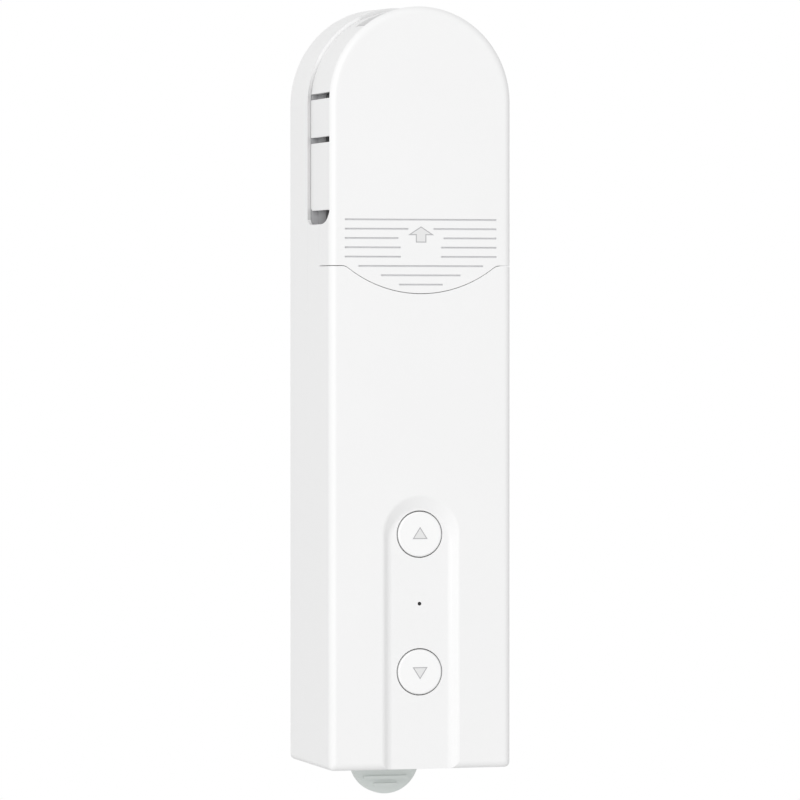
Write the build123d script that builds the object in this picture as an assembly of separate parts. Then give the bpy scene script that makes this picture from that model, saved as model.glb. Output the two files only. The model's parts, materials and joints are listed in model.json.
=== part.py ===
from build123d import *
import math
import os

# A bead-chain roller shade motor on its wall plate.
# X points right, -Y to the front, +Z up. Sizes are in millimetres.
# Heights are measured up from the bottom of the housing, depths from the wall (y = 0),
# and every piece is moved down at the end so that the origin is the middle of the wall plate.

# Walls and clearances that many pieces share
wall = 1.8
deck_wall = 1.6
plate_wall = 1.6
cover_wall = 1.6
fit_gap = 0.1
pin_clearance = 0.03
seat_clearance = 0.02

# Battery cells, which set the width and the height of the lower half
cell_radius = 9.2
cell_length = 65.0
cell_gap = 0.4
cell_side_gap = 1.3
contact_gap = 0.45
contact_wall = 0.4
contact_half = 3.5
tray_wall = 0.7

# Charging port
port_width = 8.94
port_height = 3.26
port_length = 7.4
port_sink = 0.6
port_shell = 0.3
port_gap = 0.25
cell_bottom = port_sink + port_length + 0.7
cell_top = cell_bottom + cell_length

# Gear train: teeth and modules from the motor to the bead wheel
motor_teeth = 12
first_teeth = 42
first_module = 0.6
first_pinion_teeth = 12
second_teeth = 36
second_module = 0.8
second_pinion_teeth = 12
output_teeth = 32
output_module = 1.0
output_hub = 5.0
pressure_angle = math.radians(20)
addendum = 0.8
dedendum = 1.2
tooth_thinning = 0.12
straight_flank_teeth = 20
pin_radius = 1.0
output_tip = output_module * (output_teeth / 2 + addendum)

# Motor
motor_radius = 12.2
motor_length = 12.3
motor_tray_gap = 0.385
motor_boss_radius = 3.0
motor_boss_length = 1.0
motor_shaft_radius = 1.0
motor_shaft_depth = 7.9
motor_screw_offset = 8.0
motor_screw_bore = 2.5
motor_tag_spacing = 4.0

# Places of the axes, from the motor above the cells up to the bead wheel
second_x = -1.5
first_x = 5.5
first_centres = first_module * (motor_teeth + first_teeth) / 2
second_centres = second_module * (first_pinion_teeth + second_teeth) / 2
output_centres = output_module * (second_pinion_teeth + output_teeth) / 2
motor_level = cell_top + contact_gap + tray_wall + motor_tray_gap + motor_radius
first_level = motor_level + math.sqrt(first_centres**2 - first_x**2)
second_level = first_level + math.sqrt(second_centres**2 - (first_x - second_x)**2)
wheel_level = second_level + math.sqrt(output_centres**2 - second_x**2)

# Bead wheel
bead_radius = 2.25
bead_pitch = 6.0
bead_count = 10
bead_clearance = 0.15
wheel_radius = 12.2
wheel_width = 8.2
wheel_corner = 0.6
wheel_recess = 2.4
wheel_front_gap = 1.7
pitch_radius = bead_pitch / (2 * math.sin(math.pi / bead_count))
shaft_radius = 2.5
shaft_flat = 0.5
bush_radius = 3.6
bush_flange = 4.8
bush_flange_wall = 0.6
washer_radius = 4.6
washer_bore = 1.6
washer_wall = 0.5
wheel_screw_radius = 1.25
wheel_screw_length = 6.0
wheel_screw_head = 2.9

# Width: two cells side by side, or the last gear inside the wheel frame
skirt_inset = 0.78
skirt_wall = 1.4
frame_inset = skirt_inset + skirt_wall + 0.3
plate_side_gap = 0.3
gear_side_gap = 0.52
cells_width = 4 * cell_radius + cell_gap + 2 * (cell_side_gap + wall)
gears_width = 2 * (output_tip + gear_side_gap + plate_side_gap + deck_wall + frame_inset)
body_width = max(cells_width, gears_width)
half_width = body_width / 2
inner_half = half_width - wall

# Depth layers of the drive, from the wall forward
recess_depth = 4.4
rear_outside = -recess_depth
rear_inside = rear_outside - cover_wall
gear_cover_back = rear_inside - 0.4
gear_cover_front = gear_cover_back - plate_wall
output_layer = (gear_cover_front - 4.3, gear_cover_front - 0.8)
second_layer = (output_layer[0] - 4.1, output_layer[0] - 0.4)
first_layer = (second_layer[0] - 3.6, second_layer[0] - 0.6)
plate_back = first_layer[0] - 0.3
plate_front = plate_back - plate_wall
deck_back = plate_front - fit_gap
deck_front = deck_back - deck_wall
wheel_back = deck_front - 1.0
wheel_front = wheel_back - wheel_width
wheel_middle = (wheel_front + wheel_back) / 2
motor_back = plate_front
motor_front = motor_back - motor_length

# Button channel, buttons and the parts behind them, from the front back
channel_half = 8.9
channel_depth = 1.3
channel_slope = 1.6
channel_top_drop = 1.7
channel_foot = 1.6
channel_brow = 1.2
up_level = 54.1
down_level = 22.4
lamp_level = 38.1
button_radius = 5.17
button_gap = 0.3
button_proud = 0.5
button_edge = 0.3
button_flange = 1.2
button_flange_wall = 1.0
button_travel = 0.5
guide_gap = 0.2
guide_wall = 0.7
plunger_radius = 1.6
plunger_length = 0.9
plunger_reach = 0.9
switch_size = 6.0
switch_height = 1.6
lamp_radius = 0.42
board_wall = 1.6
tray_front_wall = 1.0
cell_back_gap = 2.0

# Depth: the drive behind the wheel, or the buttons, board and cells one behind the other
drive_depth = -wheel_front + wheel_front_gap + wall
buttons_depth = channel_depth + wall + fit_gap + button_flange_wall + plunger_length + switch_height
cells_depth = board_wall + 0.6 + tray_front_wall + 2 * cell_radius + cell_back_gap - rear_inside
body_depth = max(drive_depth, buttons_depth + cells_depth)
front_face = -body_depth
front_inside = front_face + wall
channel_floor = front_face + channel_depth
channel_inside = channel_floor + wall
button_front = channel_floor - button_proud
flange_front = channel_inside + fit_gap
flange_back = flange_front + button_flange_wall
switch_front = flange_back + plunger_length
board_front = switch_front + switch_height
board_back = board_front + board_wall
cell_depth = rear_inside - cell_back_gap - cell_radius
tray_front = cell_depth - cell_radius - tray_front_wall
tray_back = cell_depth - 3.0
port_centre = board_back + port_height / 2
cell_offset = cell_radius + cell_gap / 2

# Outside form: a half round top that rises a little more at the back than at the front
dome_centre = wheel_level + 11.0
front_rise = 0.3
back_rise = 1.36
body_top = dome_centre + half_width + back_rise
edge_round = 1.7
corner_round = 1.2
back_round = 0.8

# Sliding cover and the wheel bay behind it
rim_depth = 1.0
cheek_depth = 9.3
skirt_depth = 19.8
skirt_back_gap = 0.2
window_bottom = dome_centre - 28.1
window_round = (7.0, 3.0)
foot_round = (3.4, 1.3)
skirt_round = (2.0, 0.8)
flange_inset = skirt_inset + 0.1
flange_wall = 1.0
skirt_bottom = window_bottom + 3.3
seam_level = dome_centre - 37.6
seam_dip = 6.4
dip_half = 18.8
dip_blend = 2.3
seam_gap = 0.16
slide_gap = 0.06
slit_height = 1.4
slit_levels = (dome_centre - 8.6, dome_centre + 1.5)
chain_gap_half = 12.0
chain_gap_front = 4.4
chain_gap_back = 13.4
crest_gap_half = 9.0
crest_gap_depth = 1.6
tongue_drop = 2.0
tongue_wall = 1.1
bay_floor = seam_level - seam_dip - 2.7
rail_top = dome_centre + 6.5
rail_place = half_width - 7.5
rail_wall = 1.2
rail_lip = 1.4
rail_depth = 2.8
rail_lip_wall = 1.0
hook_fin_place = half_width - 4.7
hook_fin_wall = 1.2
cheek_back = front_face + cheek_depth
rim_back = front_face + rim_depth
rim_front = front_face + skirt_depth

# Grip lines on the cover: inner and outer half length of each line, from the top
grip_top = seam_level + 10.5
grip_pitch = 2.13
grip_width = 0.4
grip_depth = 0.5
grip_lines = ((0, 18.1), (3.0, 18.1), (5.4, 18.1), (4.85, 18.1), (4.85, 18.1), (0, 14.9), (0, 9.5), (0, 5.2))

# Control board
board_half = half_width - 7.7
board_bottom = 3.4
board_corner = 1.0
chip_height = 1.1
coil_height = 2.4
module_half = 8.0
module_length = 8.0
module_gap = 0.5
module_bottom = up_level + switch_size / 2 + module_gap
board_top = max(cell_top - 1.7, module_bottom + module_length + board_corner)

# Gear plate and gear cover
narrow_half = half_width - frame_inset - deck_wall - plate_side_gap
wide_half = inner_half - 0.4
plate_step = window_bottom - deck_wall - 1.0
plate_bottom = motor_level - motor_radius + 0.265
pin_boss_radius = 2.2

# Screws
screw_radius = 1.0
screw_head = 1.9
screw_head_wall = 1.2
screw_bite = 2.6
rear_screw_bite = 3.6
bore_spare = 0.4
boss_radius = 2.2
gear_screw_sink = 0.9
gear_cover_seat = gear_cover_back - gear_screw_sink
rear_screw_side = inner_half - 3.1
rear_screw_top = dome_centre + half_width - wall - boss_radius - 2.0
plate_top = rear_screw_top - boss_radius - 1.0
case_screw_side = wide_half - 2.9
rear_screws = ((-rear_screw_side, wall + 3.2), (rear_screw_side, wall + 3.2), (0.0, rear_screw_top))
plate_screws = ((-case_screw_side, plate_bottom + 3.1), (case_screw_side, plate_bottom + 3.1),
                (0.0, plate_top - 3.2))
gear_cover_screws = ((-case_screw_side, plate_bottom + 10.0), (case_screw_side, plate_bottom + 10.0),
                     (3.52 - narrow_half, dome_centre + 4.0))
board_screw_side = board_half - 2.8
board_screws = ((-board_screw_side, up_level - 7.1), (board_screw_side, down_level + 7.6))

# Wall plate and its hooks
plate_thickness = 3.0
plate_inset = wall + 0.5
wall_plate_bottom = 10.0
wall_plate_top = dome_centre + 12.5
wall_centre = (wall_plate_bottom + wall_plate_top) / 2
wall_hole_spacing = wall_plate_top - wall_plate_bottom - 60.0
wall_hole_radius = 2.2
wall_head_radius = 4.2
plate_corner = 2.0
hook_width = 5.0
hook_height = 3.0
hook_lip = 2.0
hook_wall = 1.2
hook_slack = 0.15
slot_gap = 0.4
low_hook_side = half_width - 7.2
top_hook_side = 7.5
low_hook_level = cell_top - 7.7
top_hook_level = wall_plate_top - 3.0
hook_places = ((-low_hook_side, low_hook_level), (low_hook_side, low_hook_level),
               (-top_hook_side, top_hook_level), (top_hook_side, top_hook_level))
gear_cover_top = top_hook_level - hook_height / 2 - 1.3

# Release tab and its pocket in the rear cover
tab_radius = 8.2
tab_front = rear_outside - 1.4
tab_wall = 2.4
tab_back = tab_front + tab_wall
tab_middle = tab_front + tab_wall / 2
tab_neck_half = 5.6
tab_gap = 0.4
tab_root_level = 25.0
tab_root_radius = 1.2
tab_root_clearance = 0.05
tab_ridges = ((-4.4, 10.7), (-6.1, 5.6))
tab_ridge_height = 0.8
tab_ridge_depth = 0.6
pocket_outside = tab_front - 0.8
pocket_wall = 1.1
pocket_top = tab_root_level + 5.0
catch_level = 2.6
catch_height = 1.4
catch_depth = 0.6
catch_half = 2.6


def prism(outline, front, back):
    """Solid of a front-view outline between two depths."""
    return extrude(Plane.XZ.offset(-back) * outline, amount=back - front)


def block(x0, x1, front, back, z0, z1):
    """Plain block between two places on each axis."""
    return Pos((x0 + x1) / 2, (front + back) / 2, (z0 + z1) / 2) * Box(x1 - x0, back - front, z1 - z0)


def rod(x, z, radius, front, back):
    """Round bar along the depth."""
    return prism(Pos(x, z) * Circle(radius), front, back)


def turned(points, x, z):
    """Solid of revolution about an axis along the depth, from (radius, depth) points."""
    section = make_face(Polyline(*points, close=True))
    return Pos(x, 0, z) * revolve(section, Axis.Y)


def outline(inset, bottom):
    """Front view of the housing drawn in by an inset: straight sides under a half circle."""
    radius = half_width - inset
    straight = Pos(0, (bottom + dome_centre) / 2) * Rectangle(2 * radius, dome_centre - bottom)
    return straight + Pos(0, dome_centre) * Circle(radius)


def above(level):
    """Front-view area over a level, for cutting a flat top."""
    height = body_top + half_width - level
    return Pos(0, level + height / 2) * Rectangle(2 * body_width, height)


def arch(inset, depth):
    """Outline of the dome at a depth: it rises a little towards the back."""
    rise = front_rise + (back_rise - front_rise) * (depth - front_face) / body_depth
    radius = half_width - inset
    return Plane.XZ.offset(-depth) * Pos(0, dome_centre) * Ellipse(radius, radius + rise)


def form(inset, bottom, front, back):
    """Outside form drawn in by an inset, between two depths: straight sides under the dome."""
    dome = loft([arch(inset, front), arch(inset, back)], ruled=True)
    return dome + block(inset - half_width, half_width - inset, front, back, bottom, dome_centre)


def rounded_body():
    """The whole outside form with its rounded edges."""
    body = form(0, 0, front_face, 0)
    body = fillet(body.edges().filter_by(Axis.Y).group_by(Axis.Z)[0], corner_round)
    body = fillet(body.faces().sort_by(Axis.Y)[0].edges(), edge_round)
    return fillet(body.faces().sort_by(Axis.Y)[-1].edges(), back_round)


def above_seam(drop):
    """Front-view area above the cover's lower edge, which dips in a shallow arc at the middle."""
    level = seam_level - drop
    low = level - seam_dip
    reach = (dip_half**2 + seam_dip**2) / (2 * seam_dip)
    radius = reach - dip_blend
    join_x = dip_half * radius / reach
    join_z = low + radius + (seam_dip - reach) * radius / reach
    turn = math.asin(dip_half / reach) / 2
    mid_x = dip_half - dip_blend * math.sin(turn)
    mid_z = level - dip_blend + dip_blend * math.cos(turn)
    far = body_width
    edge = Polyline((dip_half, level), (far, level), (far, body_top + far), (-far, body_top + far),
                    (-far, level), (-dip_half, level))
    edge += ThreePointArc((-dip_half, level), (-mid_x, mid_z), (-join_x, join_z))
    edge += ThreePointArc((-join_x, join_z), (0, low), (join_x, join_z))
    edge += ThreePointArc((join_x, join_z), (mid_x, mid_z), (dip_half, level))
    return make_face(edge)


def channel_outline(inset, drop):
    """Front view of the button channel: open at the bottom, round at the top."""
    half = channel_half - inset
    below = -2 * corner_round
    top = up_level - drop
    straight = Pos(0, (below + top) / 2) * Rectangle(2 * half, top - below)
    return straight + Pos(0, top) * Circle(half)


def channel_cut():
    """The shallow channel, its sloped walls run softly into the floor and the front face."""
    mouth = Plane.XZ.offset(body_depth) * channel_outline(0, 0)
    floor = Plane.XZ.offset(-channel_floor) * channel_outline(channel_slope, channel_top_drop)
    hollow = loft([mouth, floor], ruled=True)
    foot = [edge for edge in hollow.faces().sort_by(Axis.Y)[-1].edges() if edge.center().Z > 0]
    hollow = fillet(foot, channel_foot)
    wide = channel_half + 3
    hollow += block(-wide, wide, front_face - 2, front_face, -2 * corner_round, up_level + wide)
    brow = [edge for edge in hollow.edges() if abs(edge.center().Y - front_face) < 0.01
            and abs(edge.center().X) < wide - 0.5 and 0 < edge.center().Z < up_level + wide - 0.5]
    return fillet(brow, channel_brow)


def side_corner(y, z, reach, back):
    """Filler of a lower corner seen from the side, hollowed to part of an oval; back is 1 or -1."""
    far = half_width + 1
    deep, high = reach
    front, rear = sorted((y, y + back * deep))
    oval = Plane.YZ * Pos(y + back * deep, z + high) * Ellipse(deep, high)
    return block(-far, far, front, rear, z, z + high) - extrude(oval, amount=2 * far, both=True)


def shell_blank():
    """Outside of the main shell, with the cover's front and the dome's window cut free."""
    shell = rounded_body()
    far = half_width + 1
    shell -= prism(above_seam(seam_gap), front_face - 1, cheek_back + slide_gap)
    window = block(-far, far, front_face - 1, rim_front, window_bottom, body_top + 1)
    return shell - (window - side_corner(rim_front, window_bottom, foot_round, -1))


def shell_cavities():
    """Inside spaces of the main shell, with the rebate for the wheel frame's flange."""
    lower = block(-inner_half, inner_half, front_inside, 0, wall, window_bottom)
    rim = prism(outline(wall, wall), rim_front + deck_wall, 0)
    front = rim_front - foot_round[0] - 1
    mouth = prism(outline(frame_inset - fit_gap, window_bottom), front, 0)
    rebate = prism(outline(flange_inset - fit_gap, window_bottom), front, rim_front + flange_wall + fit_gap)
    return lower + rim + mouth + rebate


def screw_bore(x, z, face, bite):
    """Bore in a boss, from its rear face a little past the end of the screw."""
    return rod(x, z, screw_radius + seat_clearance, face - bite - bore_spare, face + 1)


def main_shell():
    """Moulded tub: front wall with the button channel, sides, the back of the dome and bosses."""
    shell = shell_blank() - shell_cavities()
    shell += prism(channel_outline(-wall, 0), front_inside, channel_inside) & rounded_body()
    shell -= channel_cut()
    guide = button_radius + button_flange + guide_gap
    for level in (up_level, down_level):
        shell -= rod(0, level, button_radius + button_gap, front_face, channel_inside + 1)
        shell += tube(0, level, guide + guide_wall, guide, channel_inside, flange_back)
    shell -= rod(0, lamp_level, lamp_radius + seat_clearance, front_face, channel_inside + 1)
    for x, z in plate_screws[:2]:
        shell += rod(x, z, boss_radius, front_inside - fit_gap, plate_front)
        shell -= screw_bore(x, z, plate_front, screw_bite)
    for x, z in board_screws:
        shell += rod(x, z, boss_radius, front_inside - fit_gap, board_front)
        shell -= screw_bore(x, z, board_front, screw_bite)
    for x, z in rear_screws[:2]:
        shell += rod(x, z, boss_radius, front_inside - fit_gap, rear_inside)
        shell -= screw_bore(x, z, rear_inside, rear_screw_bite)
    shell -= port_opening(port_gap)
    pocket = tab_radius + tab_gap
    return shell - block(-pocket, pocket, pocket_outside, 1, -1, wall + 0.01)


def wheel_frame():
    """Dark inner frame: deck behind the wheel with its rim, the bay's floor, rails and the top bosses."""
    half = inner_half - fit_gap
    back = rim_front + deck_wall
    low = bay_floor - deck_wall
    body = prism(outline(frame_inset, window_bottom - deck_wall), deck_front, back)
    body += prism(outline(flange_inset, window_bottom), rim_front, rim_front + flange_wall)
    body += block(-half, half, deck_front, back, window_bottom - deck_wall, window_bottom)
    body -= prism(outline(frame_inset + deck_wall, low), deck_back, back)
    body += block(-half, half, deck_front, deck_back, low, window_bottom)
    body += block(-half, half, front_inside + fit_gap, deck_back, low, bay_floor)
    for side in (-1, 1):
        body += rail(side)
    x, z = plate_screws[2]
    body += rod(x, z, boss_radius, deck_front - deck_wall, deck_back)
    body -= screw_bore(x, z, plate_front, screw_bite)
    x, z = rear_screws[2]
    body += rod(x, z, boss_radius, deck_back - fit_gap, rear_inside)
    body -= screw_bore(x, z, rear_inside, rear_screw_bite)
    return body - rod(0, wheel_level, bush_radius + seat_clearance, deck_front - 1, deck_back + 1)


def tube(x, z, outer, inner, front, back):
    """Round ring along the depth."""
    return prism(Pos(x, z) * (Circle(outer) - Circle(inner)), front, back)


def rail(side):
    """L-shaped guide on the deck that holds the cover's hooks."""
    front = deck_front - rail_depth
    outer = rail_place + rail_wall
    guide = block(rail_place, outer, front, deck_front + fit_gap, bay_floor, rail_top)
    guide += block(rail_place, outer + rail_lip, front, front + rail_lip_wall, bay_floor, rail_top)
    return guide if side > 0 else mirror(guide, Plane.YZ)


def port_opening(gap):
    """Round-ended opening for the charging port through the housing floor."""
    opening = SlotOverall(port_width + 2 * gap, port_height + 2 * gap)
    return Pos(0, port_centre, -1) * extrude(opening, amount=wall + 2)


def cover_outside():
    """Outside of the sliding cover: front plate with its rim, cheeks and inset skirt."""
    far = half_width + 1
    body = rounded_body() & prism(above_seam(0), front_face - 1, rim_front)
    rim_zone = block(-far, far, front_face - 1, rim_back, 0, body_top + 1)
    cheek_zone = block(-far, far, rim_back, cheek_back - slide_gap, seam_level, window_bottom)
    corner_zone = side_corner(rim_back, window_bottom, window_round, 1)
    skirt_back = rim_front - skirt_back_gap
    skirt_zone = form(skirt_inset, skirt_bottom, rim_back, skirt_back)
    skirt_zone -= side_corner(skirt_back, skirt_bottom, skirt_round, -1)
    return body & (rim_zone + cheek_zone + corner_zone + skirt_zone)


def cover_hollow():
    """Space behind the front plate."""
    skirt_inside = skirt_inset + skirt_wall
    wide = block(-inner_half, inner_half, front_inside, 0, 0, window_bottom)
    return wide + prism(outline(skirt_inside, 0), front_inside, 0)


def slide_cover():
    """Cover that slides up off the wheel: grip lines, side slits, chain gap and guide hooks."""
    cover = cover_outside() - cover_hollow()
    for level in slit_levels:
        for side in (-1, 1):
            cover -= block(side * half_width - 4, side * half_width + 4, rim_back, rim_front,
                           level - slit_height / 2, level + slit_height / 2)
    cover -= block(-chain_gap_half, chain_gap_half, front_face + chain_gap_front,
                   front_face + chain_gap_back, dome_centre, body_top + 1)
    cover -= block(-crest_gap_half, crest_gap_half, rim_front - crest_gap_depth, rim_front,
                   dome_centre, body_top + 1)
    inside_edge = prism(above_seam(tongue_drop), front_inside, front_inside + tongue_wall)
    cover += inside_edge & block(-dip_half, dip_half, front_face, 0, 0, seam_level + 3)
    for side in (-1, 1):
        cover += cover_hook(side)
    return cover - grip_cuts()


def cover_hook(side):
    """Fin behind the front plate with a hook that runs behind the rail's lip."""
    outer = hook_fin_place + hook_fin_wall
    back = deck_front - 0.3
    high = window_bottom - 2
    piece = block(hook_fin_place, outer, front_inside - fit_gap, back, seam_level, high)
    piece += block(hook_fin_place - hook_fin_wall, outer, back - 1.1, back, seam_level, high)
    return piece if side > 0 else mirror(piece, Plane.YZ)


def grip_cuts():
    """Engraved grip lines on the front of the cover."""
    cuts = Part()
    for index, (inner, outer) in enumerate(grip_lines):
        level = grip_top - index * grip_pitch
        low, high = level - grip_width / 2, level + grip_width / 2
        if inner == 0:
            cuts += block(-outer, outer, front_face - 1, front_face + grip_depth, low, high)
        else:
            cuts += block(inner, outer, front_face - 1, front_face + grip_depth, low, high)
            cuts += block(-outer, -inner, front_face - 1, front_face + grip_depth, low, high)
    return cuts


def button(level):
    """Round push button with a flange behind the wall and a stem to its switch."""
    cap = rod(0, level, button_radius, button_front, flange_front)
    cap = chamfer(cap.faces().sort_by(Axis.Y)[0].edges(), button_edge)
    flange = rod(0, level, button_radius + button_flange, flange_front, flange_back)
    return cap + flange


def plunger(level):
    """Switch plunger that the button presses."""
    return rod(0, level, plunger_radius, flange_back, switch_front + plunger_reach)


def switch(level):
    """Square tact switch on the board, hollow where its plunger travels."""
    half = switch_size / 2
    case = block(-half, half, switch_front, board_front, level - half, level + half)
    bore = switch_front + plunger_reach + button_travel + 0.1
    return case - rod(0, level, plunger_radius + fit_gap, switch_front, bore)


def light_pipe():
    """Clear pin that brings the lamp's light to the front."""
    pin = rod(0, lamp_level, lamp_radius, channel_floor, flange_back)
    foot = rod(0, lamp_level, lamp_radius + 0.6, channel_inside + fit_gap, board_front - 1.2)
    return pin + foot


def status_led():
    """Small lamp on the board."""
    return block(-1.0, 1.0, board_front - 1.0, board_front, lamp_level - 0.6, lamp_level + 0.6)


def control_board():
    """Circuit board with screw holes and a cut-out beside the channel."""
    board = block(-board_half, board_half, board_front, board_back, board_bottom, board_top)
    board = fillet(board.edges().filter_by(Axis.Y), board_corner)
    for x, z in board_screws:
        board -= rod(x, z, screw_radius + 0.15, board_front - 1, board_back + 1)
    return board


def usb_port():
    """Charging socket shell with its tongue, mouth down."""
    base = port_sink
    outer = extrude(SlotOverall(port_width, port_height), amount=port_length)
    bore = SlotOverall(port_width - 2 * port_shell, port_height - 2 * port_shell)
    inner = extrude(bore, amount=port_length - 4 * port_shell)
    tongue = Pos(0, 0, (port_length + 0.8) / 2) * Box(0.75 * port_width, 0.7, port_length - 0.8)
    return Pos(0, port_centre, base) * (outer - inner + tongue)


def radio_module():
    """Shielded radio module at the top of the board."""
    high = board_top - board_corner
    can = block(-module_half, module_half, board_front - coil_height, board_front, high - module_length, high)
    return fillet(can.edges().filter_by(Axis.Y), 0.6)


def chip(x, z, width, length, thickness):
    """Flat chip on the board's front."""
    return Pos(x, board_front - thickness / 2, z) * Box(width, thickness, length)


def board_chips():
    """Charger, driver and power parts on the board's front."""
    column = board_half - 4.1
    chips = chip(-column, lamp_level - 2.8, 4.6, 4.6, chip_height)
    chips += chip(column, lamp_level + 3.7, 4.6, 5.6, chip_height)
    chips += chip(-column, board_bottom + 9.4, 5.6, 5.6, 2 * chip_height)
    return chips + rod(column, board_bottom + 9.6, 2.6, board_front - coil_height, board_front)


def screw(x, z, seat, length, sign):
    """Pan-head screw along the depth, its head behind the seat when sign is 1."""
    front, back = sorted((seat, seat + sign * screw_head_wall))
    low, high = sorted((seat, seat - sign * length))
    return rod(x, z, screw_head, front, back) + rod(x, z, screw_radius, low, high)


def screws(places, seat, length, sign):
    """A group of equal screws."""
    group = [screw(x, z, seat, length, sign) for x, z in places]
    return Compound(children=group)


def battery(side):
    """Round cell standing in the tray."""
    body = upright(side * cell_offset, cell_radius, cell_length)
    return chamfer(body.edges().filter_by(GeomType.CIRCLE), 0.6)


def upright(x, radius, length):
    """Upright cylinder centred on a cell."""
    return Pos(x, cell_depth, cell_bottom + cell_length / 2) * Cylinder(radius, length)


def battery_tray():
    """Cradle between the board and the cells, with end walls."""
    outer_half = inner_half - 1.9
    low = cell_bottom - contact_gap - tray_wall
    high = cell_top + contact_gap + tray_wall
    cradle = block(-outer_half, outer_half, tray_front, tray_back, low, high)
    for side in (-1, 1):
        cradle -= upright(side * cell_offset, cell_radius + fit_gap, cell_length + 2 * contact_gap)
    for x, z in board_screws:
        cradle -= rod(x, z, screw_head + 0.5, tray_front - 1, tray_back)
    relief = port_height / 2 + 0.4
    return cradle - block(-port_width / 2 - 0.4, port_width / 2 + 0.4, port_centre - relief,
                          port_centre + relief, 0, port_sink + port_length + 0.3)


def battery_contacts():
    """Spring plates at both ends of the cells."""
    plates = []
    for x in (-cell_offset, cell_offset):
        for level in (cell_bottom - contact_gap, cell_top + contact_gap - contact_wall):
            plates.append(block(x - contact_half, x + contact_half, cell_depth - 6.0, cell_depth + 2.0,
                                level, level + contact_wall))
    return Compound(children=plates)


def flank(teeth, module, radius):
    """Half angle of an involute tooth at a radius, less its share of the backlash."""
    pitch = module * teeth / 2
    base = pitch * math.cos(pressure_angle)
    start = math.tan(pressure_angle) - pressure_angle
    reach = math.acos(min(1.0, base / max(radius, base)))
    half = math.pi / (2 * teeth) - tooth_thinning * module / (2 * pitch)
    return half + start - (math.tan(reach) - reach)


def gear_outline(teeth, module, phase):
    """Spur gear outline with involute flanks; phase turns the first tooth."""
    pitch = module * teeth / 2
    radii = [pitch - dedendum * module, pitch + addendum * module]
    if teeth < straight_flank_teeth:
        radii.insert(1, pitch)
    points = []
    for tooth in range(teeth):
        middle = phase + 2 * math.pi * tooth / teeth
        for radius in radii:
            angle = middle - flank(teeth, module, radius)
            points.append((radius * math.cos(angle), radius * math.sin(angle)))
        for radius in reversed(radii):
            angle = middle + flank(teeth, module, radius)
            points.append((radius * math.cos(angle), radius * math.sin(angle)))
    return make_face(Polyline(*points, close=True))


def line_angle(x0, z0, x1, z1):
    """Direction from one axis to the next in the front view."""
    return math.atan2(z1 - z0, x1 - x0)


motor_to_first = line_angle(0, motor_level, first_x, first_level)
first_to_second = line_angle(first_x, first_level, second_x, second_level)
second_to_output = line_angle(second_x, second_level, 0, wheel_level)


def driven_phase(direction, teeth):
    """Phase that puts a gap of the driven gear on the line of centres."""
    return direction + math.pi + math.pi / teeth


def gear(x, z, teeth, module, phase, layer):
    """Toothed disc between the two depths of its layer."""
    return prism(Pos(x, z) * gear_outline(teeth, module, phase), layer[0], layer[1])


def compound_gear(x, z, big, big_module, big_phase, big_layer, small, small_module, small_phase, small_layer):
    """Gear with a smaller pinion moulded on its back, bored for a fixed pin."""
    wheel = gear(x, z, big, big_module, big_phase, big_layer)
    pinion_layer = (big_layer[1] - 0.1, small_layer[1])
    wheel += gear(x, z, small, small_module, small_phase, pinion_layer)
    return wheel - rod(x, z, pin_radius + pin_clearance, big_layer[0] - 1, small_layer[1] + 1)


def motor_pinion():
    """Pinion pressed on the motor shaft."""
    layer = (plate_back + 0.3, first_layer[1] + 0.2)
    pinion = gear(0, motor_level, motor_teeth, first_module, motor_to_first, layer)
    return pinion - rod(0, motor_level, motor_shaft_radius + seat_clearance, layer[0] - 1, layer[1] + 1)


def first_gear():
    """First reduction: large gear driven by the motor, pinion for the second."""
    return compound_gear(first_x, first_level, first_teeth, first_module,
                         driven_phase(motor_to_first, first_teeth), first_layer,
                         first_pinion_teeth, second_module, first_to_second, second_layer)


def second_gear():
    """Second reduction: gear driven by the first pinion, pinion for the output gear."""
    return compound_gear(second_x, second_level, second_teeth, second_module,
                         driven_phase(first_to_second, second_teeth), second_layer,
                         second_pinion_teeth, output_module, second_to_output, output_layer)


def output_gear():
    """Last gear, keyed on the wheel's shaft, its web thinned by a ring recess."""
    wheel = gear(0, wheel_level, output_teeth, output_module,
                 driven_phase(second_to_output, output_teeth), output_layer)
    rim = output_teeth * output_module / 2 - 2.6
    wheel -= tube(0, wheel_level, rim, output_hub, output_layer[0] - 1, output_layer[0] + 1.1)
    hub = rod(0, wheel_level, output_hub, plate_back + 0.4, output_layer[0] + 0.1)
    return wheel + hub - shaft_bar(seat_clearance, plate_back + 0.3, output_layer[1] + 1)


def shaft_bar(gap, front, back):
    """Shaft with one flat side."""
    section = Circle(shaft_radius + gap)
    section -= Pos(0, shaft_radius + 1 - shaft_flat + gap) * Rectangle(3 * shaft_radius, 2)
    return prism(Pos(0, wheel_level) * section, front, back)


def output_shaft():
    """Steel shaft from the bead wheel to the rear bush, round where it turns in its bushes."""
    front = wheel_front + wheel_recess
    shaft = shaft_bar(0, front, gear_cover_back - 0.1)
    shaft += rod(0, wheel_level, shaft_radius, wheel_back + 0.2, plate_back + 0.3)
    shaft += rod(0, wheel_level, shaft_radius, gear_cover_front - 0.4, gear_cover_back - 0.1)
    return shaft - rod(0, wheel_level, wheel_screw_radius, front - 1, front + wheel_screw_length + 0.5)


def bush(front, back, flange_front_depth):
    """Flanged plain bearing for the output shaft."""
    body = rod(0, wheel_level, bush_radius, front, back)
    body += rod(0, wheel_level, bush_flange, flange_front_depth, flange_front_depth + bush_flange_wall)
    return body - rod(0, wheel_level, shaft_radius + pin_clearance, front - 2, back + 2)


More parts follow.
